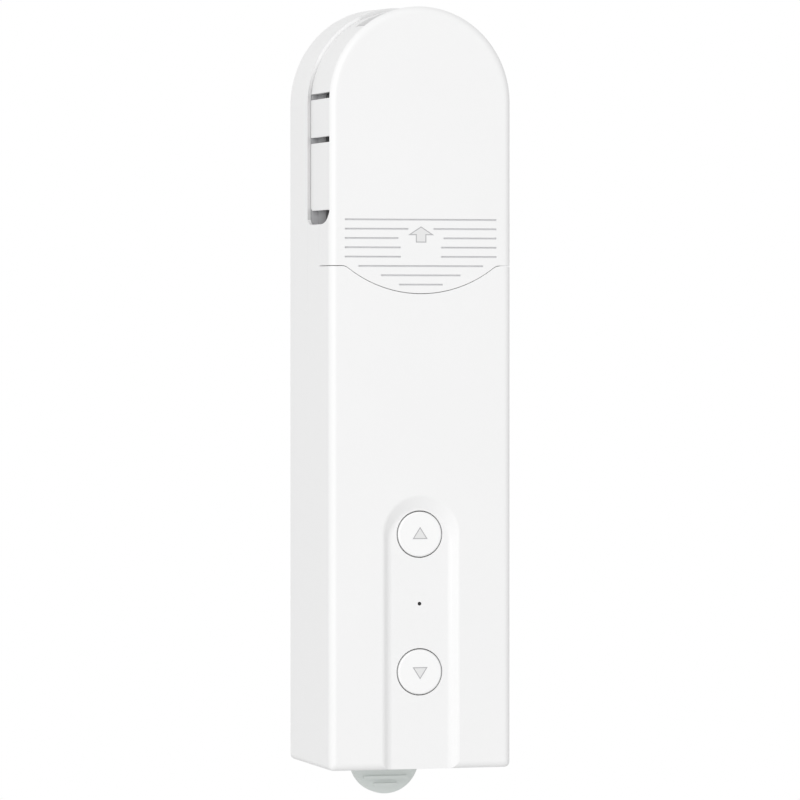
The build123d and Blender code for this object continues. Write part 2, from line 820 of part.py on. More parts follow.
def bead_wheel():
    """Chain wheel: round pockets for the beads, a groove for the links and a hub recess."""
    rim = wheel_width / 2
    groove = bead_radius + 0.2
    floor = pitch_radius - 0.4
    edge = wheel_radius - wheel_corner
    section = ((0, wheel_front), (edge, wheel_front), (wheel_radius, wheel_front + wheel_corner),
               (wheel_radius, wheel_middle - groove - 0.5), (floor, wheel_middle - 0.9),
               (floor, wheel_middle + 0.9), (wheel_radius, wheel_middle + groove + 0.5),
               (wheel_radius, wheel_middle + rim - wheel_corner), (edge, wheel_back), (0, wheel_back))
    wheel = turned(section, 0, wheel_level)
    for index in range(bead_count):
        angle = 2 * math.pi * (index + 0.5) / bead_count
        x = pitch_radius * math.cos(angle)
        z = wheel_level + pitch_radius * math.sin(angle)
        wheel -= Pos(x, wheel_middle, z) * Sphere(bead_radius + bead_clearance)
    wheel -= rod(0, wheel_level, washer_radius + 0.4, wheel_front - 1, wheel_front + wheel_recess)
    return wheel - shaft_bar(seat_clearance, wheel_front, wheel_back + 1)


def wheel_washer():
    """Washer that holds the wheel on its shaft."""
    front = wheel_front + wheel_recess - washer_wall
    return tube(0, wheel_level, washer_radius, washer_bore, front, front + washer_wall)


def wheel_screw():
    """Screw into the shaft's end with a cross recess."""
    seat = wheel_front + wheel_recess - washer_wall
    head = rod(0, wheel_level, wheel_screw_head, seat - 1.6, seat)
    head = chamfer(head.faces().sort_by(Axis.Y)[0].edges(), 0.5)
    head -= block(-1.6, 1.6, seat - 2, seat - 1.0, wheel_level - 0.3, wheel_level + 0.3)
    head -= block(-0.3, 0.3, seat - 2, seat - 1.0, wheel_level - 1.6, wheel_level + 1.6)
    tip = seat + washer_wall + wheel_screw_length
    return head + rod(0, wheel_level, wheel_screw_radius - pin_clearance, seat, tip)


def motor_can():
    """Flat can motor with its bearing boss."""
    can = rod(0, motor_level, motor_radius, motor_front, motor_back)
    can = chamfer(can.faces().sort_by(Axis.Y)[0].edges(), 0.9)
    can += rod(0, motor_level, motor_boss_radius, motor_back - 0.1, motor_back + motor_boss_length)
    for side in (-1, 1):
        can -= rod(side * motor_screw_offset, motor_level, screw_radius + seat_clearance,
                   motor_back - motor_screw_bore, motor_back + 1)
    depth = motor_back - motor_shaft_depth - fit_gap
    return can - rod(0, motor_level, motor_shaft_radius + pin_clearance, depth, motor_back + 2)


def motor_shaft():
    """Motor shaft."""
    return rod(0, motor_level, motor_shaft_radius, motor_back - motor_shaft_depth, first_layer[1] + 0.4)


def motor_terminals():
    """Two solder tags at the motor's lower edge."""
    tags = []
    for side in (-1, 1):
        x = side * motor_tag_spacing
        tag = block(x - 0.9, x + 0.9, motor_front + 3.0, motor_front + 3.4,
                    motor_level - motor_radius - 1.4, motor_level - motor_radius + 1.2)
        tags.append(tag - rod(0, motor_level, motor_radius + seat_clearance, motor_front, motor_back))
    return Compound(children=tags)


def gear_plate_outline():
    """Front view of the gear plate: wide beside the motor, narrow inside the wheel frame."""
    top = outline(half_width - narrow_half, plate_step) - above(plate_top)
    return top + Pos(0, (plate_bottom + plate_step) / 2) * Rectangle(2 * wide_half, plate_step - plate_bottom)


def gear_plate():
    """Plate that carries the motor in front and the gears behind."""
    plate = prism(gear_plate_outline(), plate_front, plate_back)
    plate -= rod(0, motor_level, motor_boss_radius + 0.05, plate_front - 1, plate_back + 1)
    for side in (-1, 1):
        plate -= rod(side * motor_screw_offset, motor_level, screw_radius + fit_gap,
                     plate_front - 1, plate_back + 1)
    for x, z in plate_screws:
        plate -= rod(x, z, screw_radius + fit_gap, plate_front - 1, plate_back + 1)
    for x, z in gear_cover_screws:
        plate -= rod(x, z, screw_radius + seat_clearance, plate_front - 1, plate_back + 1)
    for x, z in ((first_x, first_level), (second_x, second_level)):
        plate -= rod(x, z, pin_radius + seat_clearance, plate_front - 1, plate_back + 1)
    return plate - rod(0, wheel_level, bush_radius + seat_clearance, plate_front - 1, plate_back + 1)


def gear_cover():
    """Back plate of the gear case with pillars down to the gear plate."""
    low = plate_bottom + 4.0
    front_view = outline(half_width - wide_half, low) - above(gear_cover_top)
    cover = prism(front_view, gear_cover_front, gear_cover_back)
    for x, z in gear_cover_screws:
        cover += rod(x, z, boss_radius, plate_back, gear_cover_front + fit_gap)
    for x, z in gear_cover_screws:
        cover -= rod(x, z, screw_radius + fit_gap, plate_back - 1, gear_cover_back + 1)
        cover -= rod(x, z, screw_head + 0.15, gear_cover_back - gear_screw_sink, gear_cover_back + 1)
    for x, z in ((first_x, first_level), (second_x, second_level)):
        cover += rod(x, z, pin_boss_radius, gear_cover_front - pin_boss(x), gear_cover_front + fit_gap)
        cover -= rod(x, z, pin_radius + seat_clearance, plate_back - 1, gear_cover_back + 1)
    return cover - rod(0, wheel_level, bush_radius + seat_clearance,
                       gear_cover_front - 1, gear_cover_back + 1)


def pin_boss(x):
    """Length of the boss behind each compound gear."""
    if x == first_x:
        return gear_cover_front - second_layer[1] - 0.3
    return gear_cover_front - output_layer[1] - 0.2


def gear_pin(x, z):
    """Fixed steel pin that a compound gear turns on."""
    return rod(x, z, pin_radius, plate_front, gear_cover_back)


def rear_cover():
    """Back of the housing, with hook slots and a pocket for the release tab."""
    gap = 0.15
    cover = prism(outline(wall + gap, wall + gap), rear_inside, rear_outside)
    half = tab_radius + tab_gap
    outer = half + pocket_wall
    cover += block(-outer, outer, pocket_outside - pocket_wall, rear_inside, wall + gap, pocket_top + pocket_wall)
    cover -= block(-half, half, pocket_outside, 1, 0, pocket_top)
    cover += block(-catch_half - slot_gap, catch_half + slot_gap, pocket_outside - fit_gap,
                   pocket_outside + catch_depth, wall + gap, catch_level)
    slot_half = hook_width / 2 + slot_gap
    for x, z in hook_places:
        cover -= block(x - slot_half, x + slot_half, rear_inside - 1, 1,
                       z - hook_height / 2 - hook_lip - 2.1, z + hook_height / 2 + fit_gap)
    for x, z in rear_screws:
        cover -= rod(x, z, screw_radius + fit_gap, rear_inside - 1, 1)
    return cover


def wall_bracket():
    """Plate screwed to the wall, with hooks for the housing and a seat for the release tab."""
    plate = prism(outline(plate_inset, wall_plate_bottom) - above(wall_plate_top), -plate_thickness, 0)
    plate = fillet(plate.edges().filter_by(Axis.Y).group_by(Axis.Z)[0], plate_corner)
    half = tab_radius + tab_gap
    plate -= block(-half, half, -10, 1, 0, tab_root_level + 1.6)
    plate += block(-half + 0.3, half - 0.3, tab_front, 0, tab_root_level, tab_root_level + 3.4)
    seat = Rot(0, 90, 0) * Cylinder(tab_root_radius + tab_root_clearance, body_width)
    plate -= Pos(0, tab_middle, tab_root_level) * seat
    for x, z in hook_places:
        plate += hook(x, z)
    for sign in (-1, 1):
        level = wall_centre + sign * wall_hole_spacing / 2
        plate -= rod(0, level, wall_hole_radius, -10, 1)
        cone = turned(((0, -plate_thickness - 0.01), (wall_head_radius, -plate_thickness - 0.01),
                       (0, -plate_thickness + wall_head_radius)), 0, level)
        plate -= cone
    return plate


def hook(x, z):
    """Hook that stands through a slot of the rear cover and holds it from behind."""
    left, right = x - hook_width / 2, x + hook_width / 2
    low, high = z - hook_height / 2, z + hook_height / 2
    lip_back = rear_inside - hook_slack
    stem = block(left, right, lip_back - hook_wall, fit_gap - plate_thickness, low, high)
    return stem + block(left, right, lip_back - hook_wall, lip_back, low, high + hook_lip)


def release_tab():
    """Latch tongue: round root, neck, catch tooth and the half-round grip below the housing."""
    root = Pos(0, tab_middle, tab_root_level) * Rot(0, 90, 0) * Cylinder(tab_root_radius, 2 * tab_neck_half)
    neck = block(-tab_neck_half, tab_neck_half, tab_front + 0.3, tab_back - 0.3, 0, tab_root_level)
    grip = prism(Circle(tab_radius), tab_front, tab_back)
    grip -= block(-tab_radius, tab_radius, tab_front - 1, 0, wall + 1.4, tab_radius + 1)
    tab = root + neck + grip
    for level, width in tab_ridges:
        tab += block(-width / 2, width / 2, tab_front - tab_ridge_depth, tab_front + 0.1,
                     level - tab_ridge_height / 2, level + tab_ridge_height / 2)
    low = catch_level + 0.2
    return tab + block(-catch_half, catch_half, tab_front - catch_depth, tab_front + 0.4,
                       low, low + catch_height)


def all_pieces():
    """Every piece by its name."""
    pieces = {
        "main_shell": main_shell(),
        "slide_cover": slide_cover(),
        "wheel_frame": wheel_frame(),
        "rear_cover": rear_cover(),
        "wall_bracket": wall_bracket(),
        "release_tab": release_tab(),
        "up_button": button(up_level),
        "down_button": button(down_level),
        "up_plunger": plunger(up_level),
        "down_plunger": plunger(down_level),
        "up_switch": switch(up_level),
        "down_switch": switch(down_level),
        "light_pipe": light_pipe(),
        "status_led": status_led(),
        "control_board": control_board(),
        "usb_port": usb_port(),
        "radio_module": radio_module(),
        "board_chips": board_chips(),
        "board_screws": screws(board_screws, board_back, board_wall + screw_bite, 1),
        "battery_left": battery(-1),
        "battery_right": battery(1),
        "battery_tray": battery_tray(),
        "battery_contacts": battery_contacts(),
        "motor_can": motor_can(),
        "motor_shaft": motor_shaft(),
        "motor_pinion": motor_pinion(),
        "motor_terminals": motor_terminals(),
        "motor_screws": screws(((-motor_screw_offset, motor_level), (motor_screw_offset, motor_level)),
                               plate_back, plate_wall + motor_screw_bore - 0.5, 1),
        "gear_plate": gear_plate(),
        "gear_cover": gear_cover(),
        "first_gear": first_gear(),
        "first_gear_pin": gear_pin(first_x, first_level),
        "second_gear": second_gear(),
        "second_gear_pin": gear_pin(second_x, second_level),
        "output_gear": output_gear(),
        "output_shaft": output_shaft(),
        "front_bush": bush(deck_front - 0.2, plate_back, deck_front - bush_flange_wall),
        "rear_bush": bush(gear_cover_front, gear_cover_back, gear_cover_front - bush_flange_wall),
        "bead_wheel": bead_wheel(),
        "wheel_washer": wheel_washer(),
        "wheel_screw": wheel_screw(),
        "gear_plate_screws": screws(plate_screws, plate_back, plate_wall + screw_bite, 1),
        "gear_cover_screws": screws(gear_cover_screws, gear_cover_seat, gear_cover_seat - plate_front, 1),
        "rear_cover_screws": screws(rear_screws, rear_outside, cover_wall + rear_screw_bite, 1),
    }
    return pieces


def placed(piece):
    """A piece moved into the wall plate's frame, solid by solid."""
    solids = [Pos(0, 0, -wall_centre) * solid for solid in piece.solids()]
    return solids[0] if len(solids) == 1 else Compound(children=solids)


def write_parts():
    """Write every piece in the wall plate's frame."""
    os.makedirs("parts", exist_ok=True)
    for name, piece in all_pieces().items():
        export_step(placed(piece), "parts/" + name + ".step")


write_parts()
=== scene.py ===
import json
import math

import bpy
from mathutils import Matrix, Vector


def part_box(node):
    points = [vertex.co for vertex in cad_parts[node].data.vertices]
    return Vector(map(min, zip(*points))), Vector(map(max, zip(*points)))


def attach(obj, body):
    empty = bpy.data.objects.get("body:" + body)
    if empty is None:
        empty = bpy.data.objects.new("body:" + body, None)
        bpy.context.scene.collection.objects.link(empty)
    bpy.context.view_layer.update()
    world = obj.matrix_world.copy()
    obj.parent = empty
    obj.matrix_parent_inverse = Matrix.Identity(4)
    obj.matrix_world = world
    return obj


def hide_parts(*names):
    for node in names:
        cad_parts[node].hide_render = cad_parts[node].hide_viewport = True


bl_info = {
    "name": "Roller Shade Motor",
    "version": (1, 0, 0),
    "blender": (4, 5, 0),
    "location": "3D View > Sidebar > Shade Motor",
    "description": "Marks, fasteners and finishes for a bead-chain roller shade motor",
    "category": "Object",
}

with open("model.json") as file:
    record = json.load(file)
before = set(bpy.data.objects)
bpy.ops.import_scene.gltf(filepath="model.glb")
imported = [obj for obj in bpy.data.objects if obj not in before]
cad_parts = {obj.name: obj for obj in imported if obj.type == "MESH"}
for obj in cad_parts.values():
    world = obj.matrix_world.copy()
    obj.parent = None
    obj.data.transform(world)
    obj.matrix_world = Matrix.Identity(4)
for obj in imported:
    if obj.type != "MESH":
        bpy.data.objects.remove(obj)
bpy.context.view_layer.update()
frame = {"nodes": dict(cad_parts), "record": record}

# Texture constants
GRAIN_DEPTH = 0.00002
CLOUD_SCALE = 38.0
GLOSS_SWING = 0.12
STAIN_SCALE = 160.0
STAIN_SHADES = (0.82, 1.08)
METAL_GLOSS_SWING = 0.22

# Sockets of a colour mix node
MIX_FACTOR = 0
MIX_FIRST = 6
MIX_SECOND = 7
MIX_RESULT = 2

# Distances for finding places in a mesh
SAME_PLACE = 1e-5
FACE_REACH = 0.00002
SHADE_EDGE = 0.0001
HEAD_SPREAD = 0.0045


class ShadeColours(bpy.types.PropertyGroup):
    """Colours of the finishes."""

    shell: bpy.props.FloatVectorProperty(
        name="White parts", description="Moulded white housing, cover and back", subtype="COLOR", size=3,
        min=0, max=1, default=(0.90, 0.90, 0.90))
    button: bpy.props.FloatVectorProperty(
        name="Buttons", description="Two round push buttons", subtype="COLOR", size=3,
        min=0, max=1, default=(0.94, 0.94, 0.94))
    mark: bpy.props.FloatVectorProperty(
        name="Marks", description="Middle of the arrow and the triangles", subtype="COLOR", size=3,
        min=0, max=1, default=(0.79, 0.79, 0.79))
    bracket: bpy.props.FloatVectorProperty(
        name="Wall plate", description="Wall plate and release tab", subtype="COLOR", size=3,
        min=0, max=1, default=(0.74, 0.78, 0.76))
    wheel: bpy.props.FloatVectorProperty(
        name="Chain wheel", description="Wheel for the bead chain", subtype="COLOR", size=3,
        min=0, max=1, default=(0.66, 0.67, 0.66))
    gears: bpy.props.FloatVectorProperty(
        name="Gears", description="Natural moulded gears", subtype="COLOR", size=3,
        min=0, max=1, default=(0.79, 0.76, 0.66))
    # Painted shade: the darker step round each mark stands in for the shade on the walls of a sunk mark.
    mark_step_shade: bpy.props.FloatVectorProperty(
        name="Mark edges", description="Shaded step round each mark", subtype="COLOR", size=3,
        min=0, max=1, default=(0.46, 0.46, 0.47))
    # Painted shade: the grey on the grip lines' floor stands in for the shade inside the grooves.
    groove_shade: bpy.props.FloatVectorProperty(
        name="Grip lines", description="Floor of the grip lines in the cover", subtype="COLOR", size=3,
        min=0, max=1, default=(0.77, 0.77, 0.78))
    # Painted shade: the grey on the housing's step round the side window stands in for the shade that falls
    # there.
    rim: bpy.props.FloatVectorProperty(
        name="Window step", description="Step of the housing round the side window", subtype="COLOR", size=3,
        min=0, max=1, default=(0.62, 0.62, 0.62))
    # Painted shade: the wheel frame darkens to this colour towards the front, for the deeper shade in the
    # side window.
    frame_front_shade: bpy.props.FloatVectorProperty(
        name="Wheel frame front", description="Front part of the wheel frame", subtype="COLOR", size=3,
        min=0, max=1, default=(0.19, 0.19, 0.195))
    # Painted shade: mid-grey stands in for white frame plastic lying in the shade of the side window.
    wheel_frame: bpy.props.FloatVectorProperty(
        name="Wheel frame", description="Moulded frame behind the chain wheel", subtype="COLOR", size=3,
        min=0, max=1, default=(0.44, 0.44, 0.45))
    inner_frame: bpy.props.FloatVectorProperty(
        name="Inner frame", description="Gear plates and battery tray", subtype="COLOR", size=3,
        min=0, max=1, default=(0.022, 0.022, 0.025))
    board: bpy.props.FloatVectorProperty(
        name="Board", description="Solder mask of the circuit board", subtype="COLOR", size=3,
        min=0, max=1, default=(0.008, 0.07, 0.025))
    sleeve: bpy.props.FloatVectorProperty(
        name="Cell sleeve", description="Shrink sleeve of the battery cells", subtype="COLOR", size=3,
        min=0, max=1, default=(0.012, 0.09, 0.34))
    black: bpy.props.FloatVectorProperty(
        name="Black parts", description="Switches, plungers, chips and the port's tongue", subtype="COLOR",
        size=3, min=0, max=1, default=(0.012, 0.012, 0.013))
    pipe: bpy.props.FloatVectorProperty(
        name="Lamp", description="Smoked light pipe and its lamp", subtype="COLOR", size=3,
        min=0, max=1, default=(0.004, 0.004, 0.005))
    steel: bpy.props.FloatVectorProperty(
        name="Steel", description="Plated screws, shafts and cans", subtype="COLOR", size=3,
        min=0, max=1, default=(0.60, 0.60, 0.61))
    motor: bpy.props.FloatVectorProperty(
        name="Motor can", description="Bright rolled metal of the motor", subtype="COLOR", size=3,
        min=0, max=1, default=(0.64, 0.64, 0.65))
    bronze: bpy.props.FloatVectorProperty(
        name="Bronze", description="Bushes, motor pinion and contacts", subtype="COLOR", size=3,
        min=0, max=1, default=(0.72, 0.50, 0.20))


class ShadeMarks(bpy.types.PropertyGroup):
    """Sizes of the marks on the cover and the buttons."""

    head_width: bpy.props.FloatProperty(
        name="Arrow width", description="Width of the arrow's head", unit="LENGTH", default=0.0062,
        min=0.001, max=0.02)
    head_height: bpy.props.FloatProperty(
        name="Arrow head", description="Height of the arrow's head", unit="LENGTH", default=0.0020,
        min=0.001, max=0.02)
    shaft_width: bpy.props.FloatProperty(
        name="Shaft width", description="Width of the arrow's shaft", unit="LENGTH", default=0.0025,
        min=0.0005, max=0.02)
    shaft_length: bpy.props.FloatProperty(
        name="Shaft length", description="Length of the arrow's shaft", unit="LENGTH", default=0.0017,
        min=0.0005, max=0.02)
    arrow_tip: bpy.props.FloatProperty(
        name="Arrow tip", description="Height of the arrow's tip over the cover's lowest point",
        unit="LENGTH", default=0.01737, min=0.001, max=0.06)
    triangle_width: bpy.props.FloatProperty(
        name="Triangle width", description="Base of each button's triangle", unit="LENGTH", default=0.0036,
        min=0.001, max=0.008)
    triangle_height: bpy.props.FloatProperty(
        name="Triangle height", description="Height of each button's triangle", unit="LENGTH", default=0.0028,
        min=0.001, max=0.008)
    triangle_raise: bpy.props.FloatProperty(
        name="Triangle raise", description="How far a triangle is moved the way it points", unit="LENGTH",
        default=0.0003, min=-0.002, max=0.002)
    # The step carries the painted shade colour.
    step: bpy.props.FloatProperty(
        name="Step", description="Width of the shaded step round a mark", unit="LENGTH", default=0.00022,
        min=0.00005, max=0.001)
    sink: bpy.props.FloatProperty(
        name="Sink", description="How deep the middle of a mark lies behind its step", unit="LENGTH",
        default=0.00001, min=0, max=0.001)
    proud: bpy.props.FloatProperty(
        name="Proud", description="How far a mark stands before the face that carries it", unit="LENGTH",
        default=0.00003, min=0, max=0.001)
    wall: bpy.props.FloatProperty(
        name="Wall", description="How far a mark reaches into the piece that carries it", unit="LENGTH",
        default=0.0004, min=0.0001, max=0.002)


class ShadeZones(bpy.types.PropertyGroup):
    """Where painted shade lies on the grip lines, the step round the side window and the wheel frame."""

    near: bpy.props.FloatProperty(
        name="Near", description="Depth at which a grip line's shade begins", unit="LENGTH", default=0.0003,
        min=0, max=0.002)
    far: bpy.props.FloatProperty(
        name="Far", description="Depth at which a grip line's shade ends", unit="LENGTH", default=0.00056,
        min=0.0001, max=0.002)
    top: bpy.props.FloatProperty(
        name="Top", description="Height of the shade's upper end over the cover's lowest point",
        unit="LENGTH", default=0.0200, min=0, max=0.05)
    low: bpy.props.FloatProperty(
        name="Bottom", description="Height of the shade's lower end over the cover's lowest point",
        unit="LENGTH", default=0.0015, min=0, max=0.05)
    reach: bpy.props.FloatProperty(
        name="Reach", description="Half the span of the shaded places", unit="LENGTH", default=0.0183,
        min=0.001, max=0.05)
    rim: bpy.props.FloatProperty(
        name="Step", description="Depth at which the step round the side window lies", unit="LENGTH",
        default=-0.0165, min=-0.05, max=0)
    rim_drop: bpy.props.FloatProperty(
        name="Step shade", description="How far under the crown the step's shade begins to fade",
        unit="LENGTH", default=0.0185, min=0, max=0.1)
    rim_fade: bpy.props.FloatProperty(
        name="Step shade end", description="Share of that way at which the step's shade has faded",
        subtype="FACTOR", default=0.6, min=0, max=1)
    frame_shade: bpy.props.FloatProperty(
        name="Frame shade", description="Depth over which the wheel frame darkens to the front",
        unit="LENGTH", default=0.0071, min=0.0001, max=0.05)


class ShadeScrews(bpy.types.PropertyGroup):
    """Sizes of the small screws."""

    shank: bpy.props.FloatProperty(
        name="Shank", description="Radius of the screw under its thread", unit="LENGTH", default=0.00074,
        min=0.0003, max=0.003)
    crest: bpy.props.FloatProperty(
        name="Crest", description="Radius over the thread", unit="LENGTH", default=0.00100,
        min=0.0004, max=0.004)
    pitch: bpy.props.FloatProperty(
        name="Pitch", description="Rise of the thread in one turn", unit="LENGTH", default=0.00072,
        min=0.0002, max=0.003)
    recess: bpy.props.FloatProperty(
        name="Recess", description="Span of the cross recess", unit="LENGTH", default=0.0021,
        min=0.0005, max=0.01)


class ShadePort(bpy.types.PropertyGroup):
    """Sizes of the charging port's tongue and contacts."""

    tongue_span: bpy.props.FloatProperty(
        name="Tongue span", description="Width of the tongue as a share of the port's", subtype="FACTOR",
        default=0.77, min=0.1, max=1)
    tongue_length: bpy.props.FloatProperty(
        name="Tongue length", description="Length of the tongue as a share of the port's", subtype="FACTOR",
        default=0.66, min=0.1, max=1)
    tongue_wall: bpy.props.FloatProperty(
        name="Tongue wall", description="Thickness of the tongue", unit="LENGTH", default=0.00084,
        min=0.0002, max=0.003)
    tongue_lift: bpy.props.FloatProperty(
        name="Tongue lift", description="How far inside the port's mouth the tongue begins", unit="LENGTH",
        default=0.0007, min=0, max=0.005)
    tongue_round: bpy.props.FloatProperty(
        name="Tongue round", description="Rounding of the tongue's front edges", unit="LENGTH",
        default=0.0002, min=0, max=0.001)
    contact_count: bpy.props.IntProperty(
        name="Contacts", description="Number of contacts in a row", default=12, min=2, max=24)
    contact_pitch: bpy.props.FloatProperty(
        name="Contact pitch", description="Distance from one contact to the next", unit="LENGTH",
        default=0.0005, min=0.0002, max=0.003)
    contact_width: bpy.props.FloatProperty(
        name="Contact width", description="Width of a contact", unit="LENGTH", default=0.00027,
        min=0.0001, max=0.002)
    contact_wall: bpy.props.FloatProperty(
        name="Contact wall", description="Thickness over both faces of a contact", unit="LENGTH",
        default=0.00098, min=0.0002, max=0.003)
    contact_round: bpy.props.FloatProperty(
        name="Contact round", description="Bevel of a contact's edges", unit="LENGTH", default=0.00004,
        min=0, max=0.0005)
    contact_length: bpy.props.FloatProperty(
        name="Contact length", description="Length of a contact as a share of the tongue's",
        subtype="FACTOR", default=0.72, min=0.1, max=1)
    contact_lift: bpy.props.FloatProperty(
        name="Contact lift", description="How far behind the tongue's edge the contacts begin",
        unit="LENGTH", default=0.0004, min=0, max=0.003)


class ShadeStage(bpy.types.PropertyGroup):
    """Camera, floor and lamps."""

    lens: bpy.props.FloatProperty(
        name="Lens", description="Focal length of the camera", unit="CAMERA", default=231.9, min=20, max=400)
    camera_place: bpy.props.FloatVectorProperty(
        name="Camera place", description="Where the camera stands", subtype="TRANSLATION", size=3,
        default=(-0.3290, -1.1736, 0.0156))
    camera_tilt: bpy.props.FloatProperty(
        name="Camera tilt", description="Degrees from straight down", default=89.10, min=0, max=180)
    camera_turn: bpy.props.FloatProperty(
        name="Camera turn", description="Degrees about the height", default=-15.9, min=-180, max=180)
    room_light: bpy.props.FloatProperty(
        name="Room light", description="Strength of the even light from all round", default=0.665,
        min=0, max=5)
    key_light: bpy.props.FloatProperty(
        name="Key light", description="Power of the soft lamp high on the left", unit="POWER", default=12.5,
        min=0, max=500)
    key_place: bpy.props.FloatVectorProperty(
        name="Key place", description="Where the lamp on the left stands", subtype="TRANSLATION", size=3,
        default=(-1.03, -1.46, 0.6))
    key_size: bpy.props.FloatProperty(
        name="Key size", description="Side of the lamp on the left", unit="LENGTH", default=0.9,
        min=0.01, max=5)
    fill_light: bpy.props.FloatProperty(
        name="Fill light", description="Power of the small lamp low in front", unit="POWER", default=1.5,
        min=0, max=500)
    fill_place: bpy.props.FloatVectorProperty(
        name="Fill place", description="Where the lamp in front stands", subtype="TRANSLATION", size=3,
        default=(-0.5, -1.6, -0.3))
    fill_size: bpy.props.FloatProperty(
        name="Fill size", description="Side of the lamp in front", unit="LENGTH", default=0.8,
        min=0.01, max=5)
    floor_drop: bpy.props.FloatProperty(
        name="Floor", description="How far the floor lies under the origin", unit="LENGTH", default=0.45,
        min=0.1, max=3)
    floor_radius: bpy.props.FloatProperty(
        name="Floor radius", description="Radius of the round floor", unit="LENGTH", default=1.6,
        min=0.1, max=10)
    floor_colour: bpy.props.FloatVectorProperty(
        name="Floor colour", description="Pale floor", subtype="COLOR", size=3,
        min=0, max=1, default=(0.86, 0.86, 0.86))


def node(tree, kind, place, **values):
    """A node at a place in its tree, with its settings and its unlinked inputs."""
    made = tree.nodes.new(kind)
    made.location = place
    for name, value in values.items():
        if name in made.inputs:
            made.inputs[name].default_value = value
        else:
            setattr(made, name, value)
    return made


def new_group(name, inputs, outputs):
    """An empty node group with float or colour sockets."""
    group = bpy.data.node_groups.new(name, "ShaderNodeTree")
    for label, kind, default in inputs:
        socket = group.interface.new_socket(name=label, in_out="INPUT", socket_type=kind)
        if default is not None:
            socket.default_value = default
    for label, kind in outputs:
        group.interface.new_socket(name=label, in_out="OUTPUT", socket_type=kind)
    start = node(group, "NodeGroupInput", (-900, 0))
    end = node(group, "NodeGroupOutput", (700, 0))
    return group, start, end


def moulded_group():
    """Fine spark-eroded mould texture with slow cloudy changes of shade and gloss."""
    inputs = (("Colour", "NodeSocketColor", (0.8, 0.8, 0.8, 1)), ("Grain", "NodeSocketFloat", 2200.0),
              ("Cloud", "NodeSocketFloat", 0.02), ("Roughness", "NodeSocketFloat", 0.45))
    outputs = (("Colour", "NodeSocketColor"), ("Roughness", "NodeSocketFloat"), ("Height", "NodeSocketFloat"))
    group, start, end = new_group("Moulded Texture", inputs, outputs)
    place = node(group, "ShaderNodeTexCoord", (-900, 300))
    grain = node(group, "ShaderNodeTexNoise", (-600, 300), Detail=3.0, Roughness=0.6)
    cloud = node(group, "ShaderNodeTexNoise", (-600, 0), Scale=CLOUD_SCALE, Detail=2.0, Roughness=0.5)
    group.links.new(place.outputs["Object"], grain.inputs["Vector"])
    group.links.new(place.outputs["Object"], cloud.inputs["Vector"])
    group.links.new(start.outputs["Grain"], grain.inputs["Scale"])
    centred = node(group, "ShaderNodeMath", (-380, 0), operation="SUBTRACT")
    centred.inputs[1].default_value = 0.5
    scaled = node(group, "ShaderNodeMath", (-200, 0), operation="MULTIPLY")
    lift = node(group, "ShaderNodeMath", (-20, 0), operation="ADD")
    lift.inputs[1].default_value = 1.0
    tint = node(group, "ShaderNodeVectorMath", (200, 100), operation="SCALE")
    group.links.new(cloud.outputs["Fac"], centred.inputs[0])
    group.links.new(centred.outputs[0], scaled.inputs[0])
    group.links.new(start.outputs["Cloud"], scaled.inputs[1])
    group.links.new(scaled.outputs[0], lift.inputs[0])
    group.links.new(start.outputs["Colour"], tint.inputs[0])
    group.links.new(lift.outputs[0], tint.inputs["Scale"])
    gloss = node(group, "ShaderNodeMath", (200, -200), operation="MULTIPLY_ADD")
    gloss.inputs[1].default_value = GLOSS_SWING
    group.links.new(centred.outputs[0], gloss.inputs[0])
    group.links.new(start.outputs["Roughness"], gloss.inputs[2])
    group.links.new(tint.outputs[0], end.inputs["Colour"])
    group.links.new(gloss.outputs[0], end.inputs["Roughness"])
    group.links.new(grain.outputs["Fac"], end.inputs["Height"])
    return group


def painted_shade_zone_group():
    """Mask for painted shade: white between two depths, two heights and two sides, fading out over the upper
    height.
    """
    inputs = (("Near", "NodeSocketFloat", 0.0), ("Far", "NodeSocketFloat", 0.001),
              ("Low", "NodeSocketFloat", 0.0), ("Top", "NodeSocketFloat", 0.01),
              ("End", "NodeSocketFloat", 0.011), ("Reach", "NodeSocketFloat", 0.01))
    group, start, end = new_group("Painted Shade Zone Mask", inputs, (("Mask", "NodeSocketFloat"),))
    place = node(group, "ShaderNodeTexCoord", (-900, 300))
    split = node(group, "ShaderNodeSeparateXYZ", (-700, 300))
    group.links.new(place.outputs["Object"], split.inputs[0])
    side = node(group, "ShaderNodeMath", (-500, 100), operation="ABSOLUTE")
    group.links.new(split.outputs["X"], side.inputs[0])
    mask = node(group, "ShaderNodeMapRange", (-500, -200))
    mask.inputs["To Min"].default_value = 1.0
    mask.inputs["To Max"].default_value = 0.0
    group.links.new(split.outputs["Z"], mask.inputs["Value"])
    group.links.new(start.outputs["Top"], mask.inputs["From Min"])
    group.links.new(start.outputs["End"], mask.inputs["From Max"])
    tests = ((split.outputs["Y"], "GREATER_THAN", "Near"), (split.outputs["Y"], "LESS_THAN", "Far"),
             (split.outputs["Z"], "GREATER_THAN", "Low"), (side.outputs[0], "LESS_THAN", "Reach"))
    for index, (value, kind, limit) in enumerate(tests):
        test = node(group, "ShaderNodeMath", (-260, 400 - 180 * index), operation=kind)
        group.links.new(value, test.inputs[0])
        group.links.new(start.outputs[limit], test.inputs[1])
        both = node(group, "ShaderNodeMath", (-40 + 120 * index, 300 - 120 * index), operation="MULTIPLY")
        group.links.new(mask.outputs[0], both.inputs[0])
        group.links.new(test.outputs[0], both.inputs[1])
        mask = both
    group.links.new(mask.outputs[0], end.inputs["Mask"])
    return group


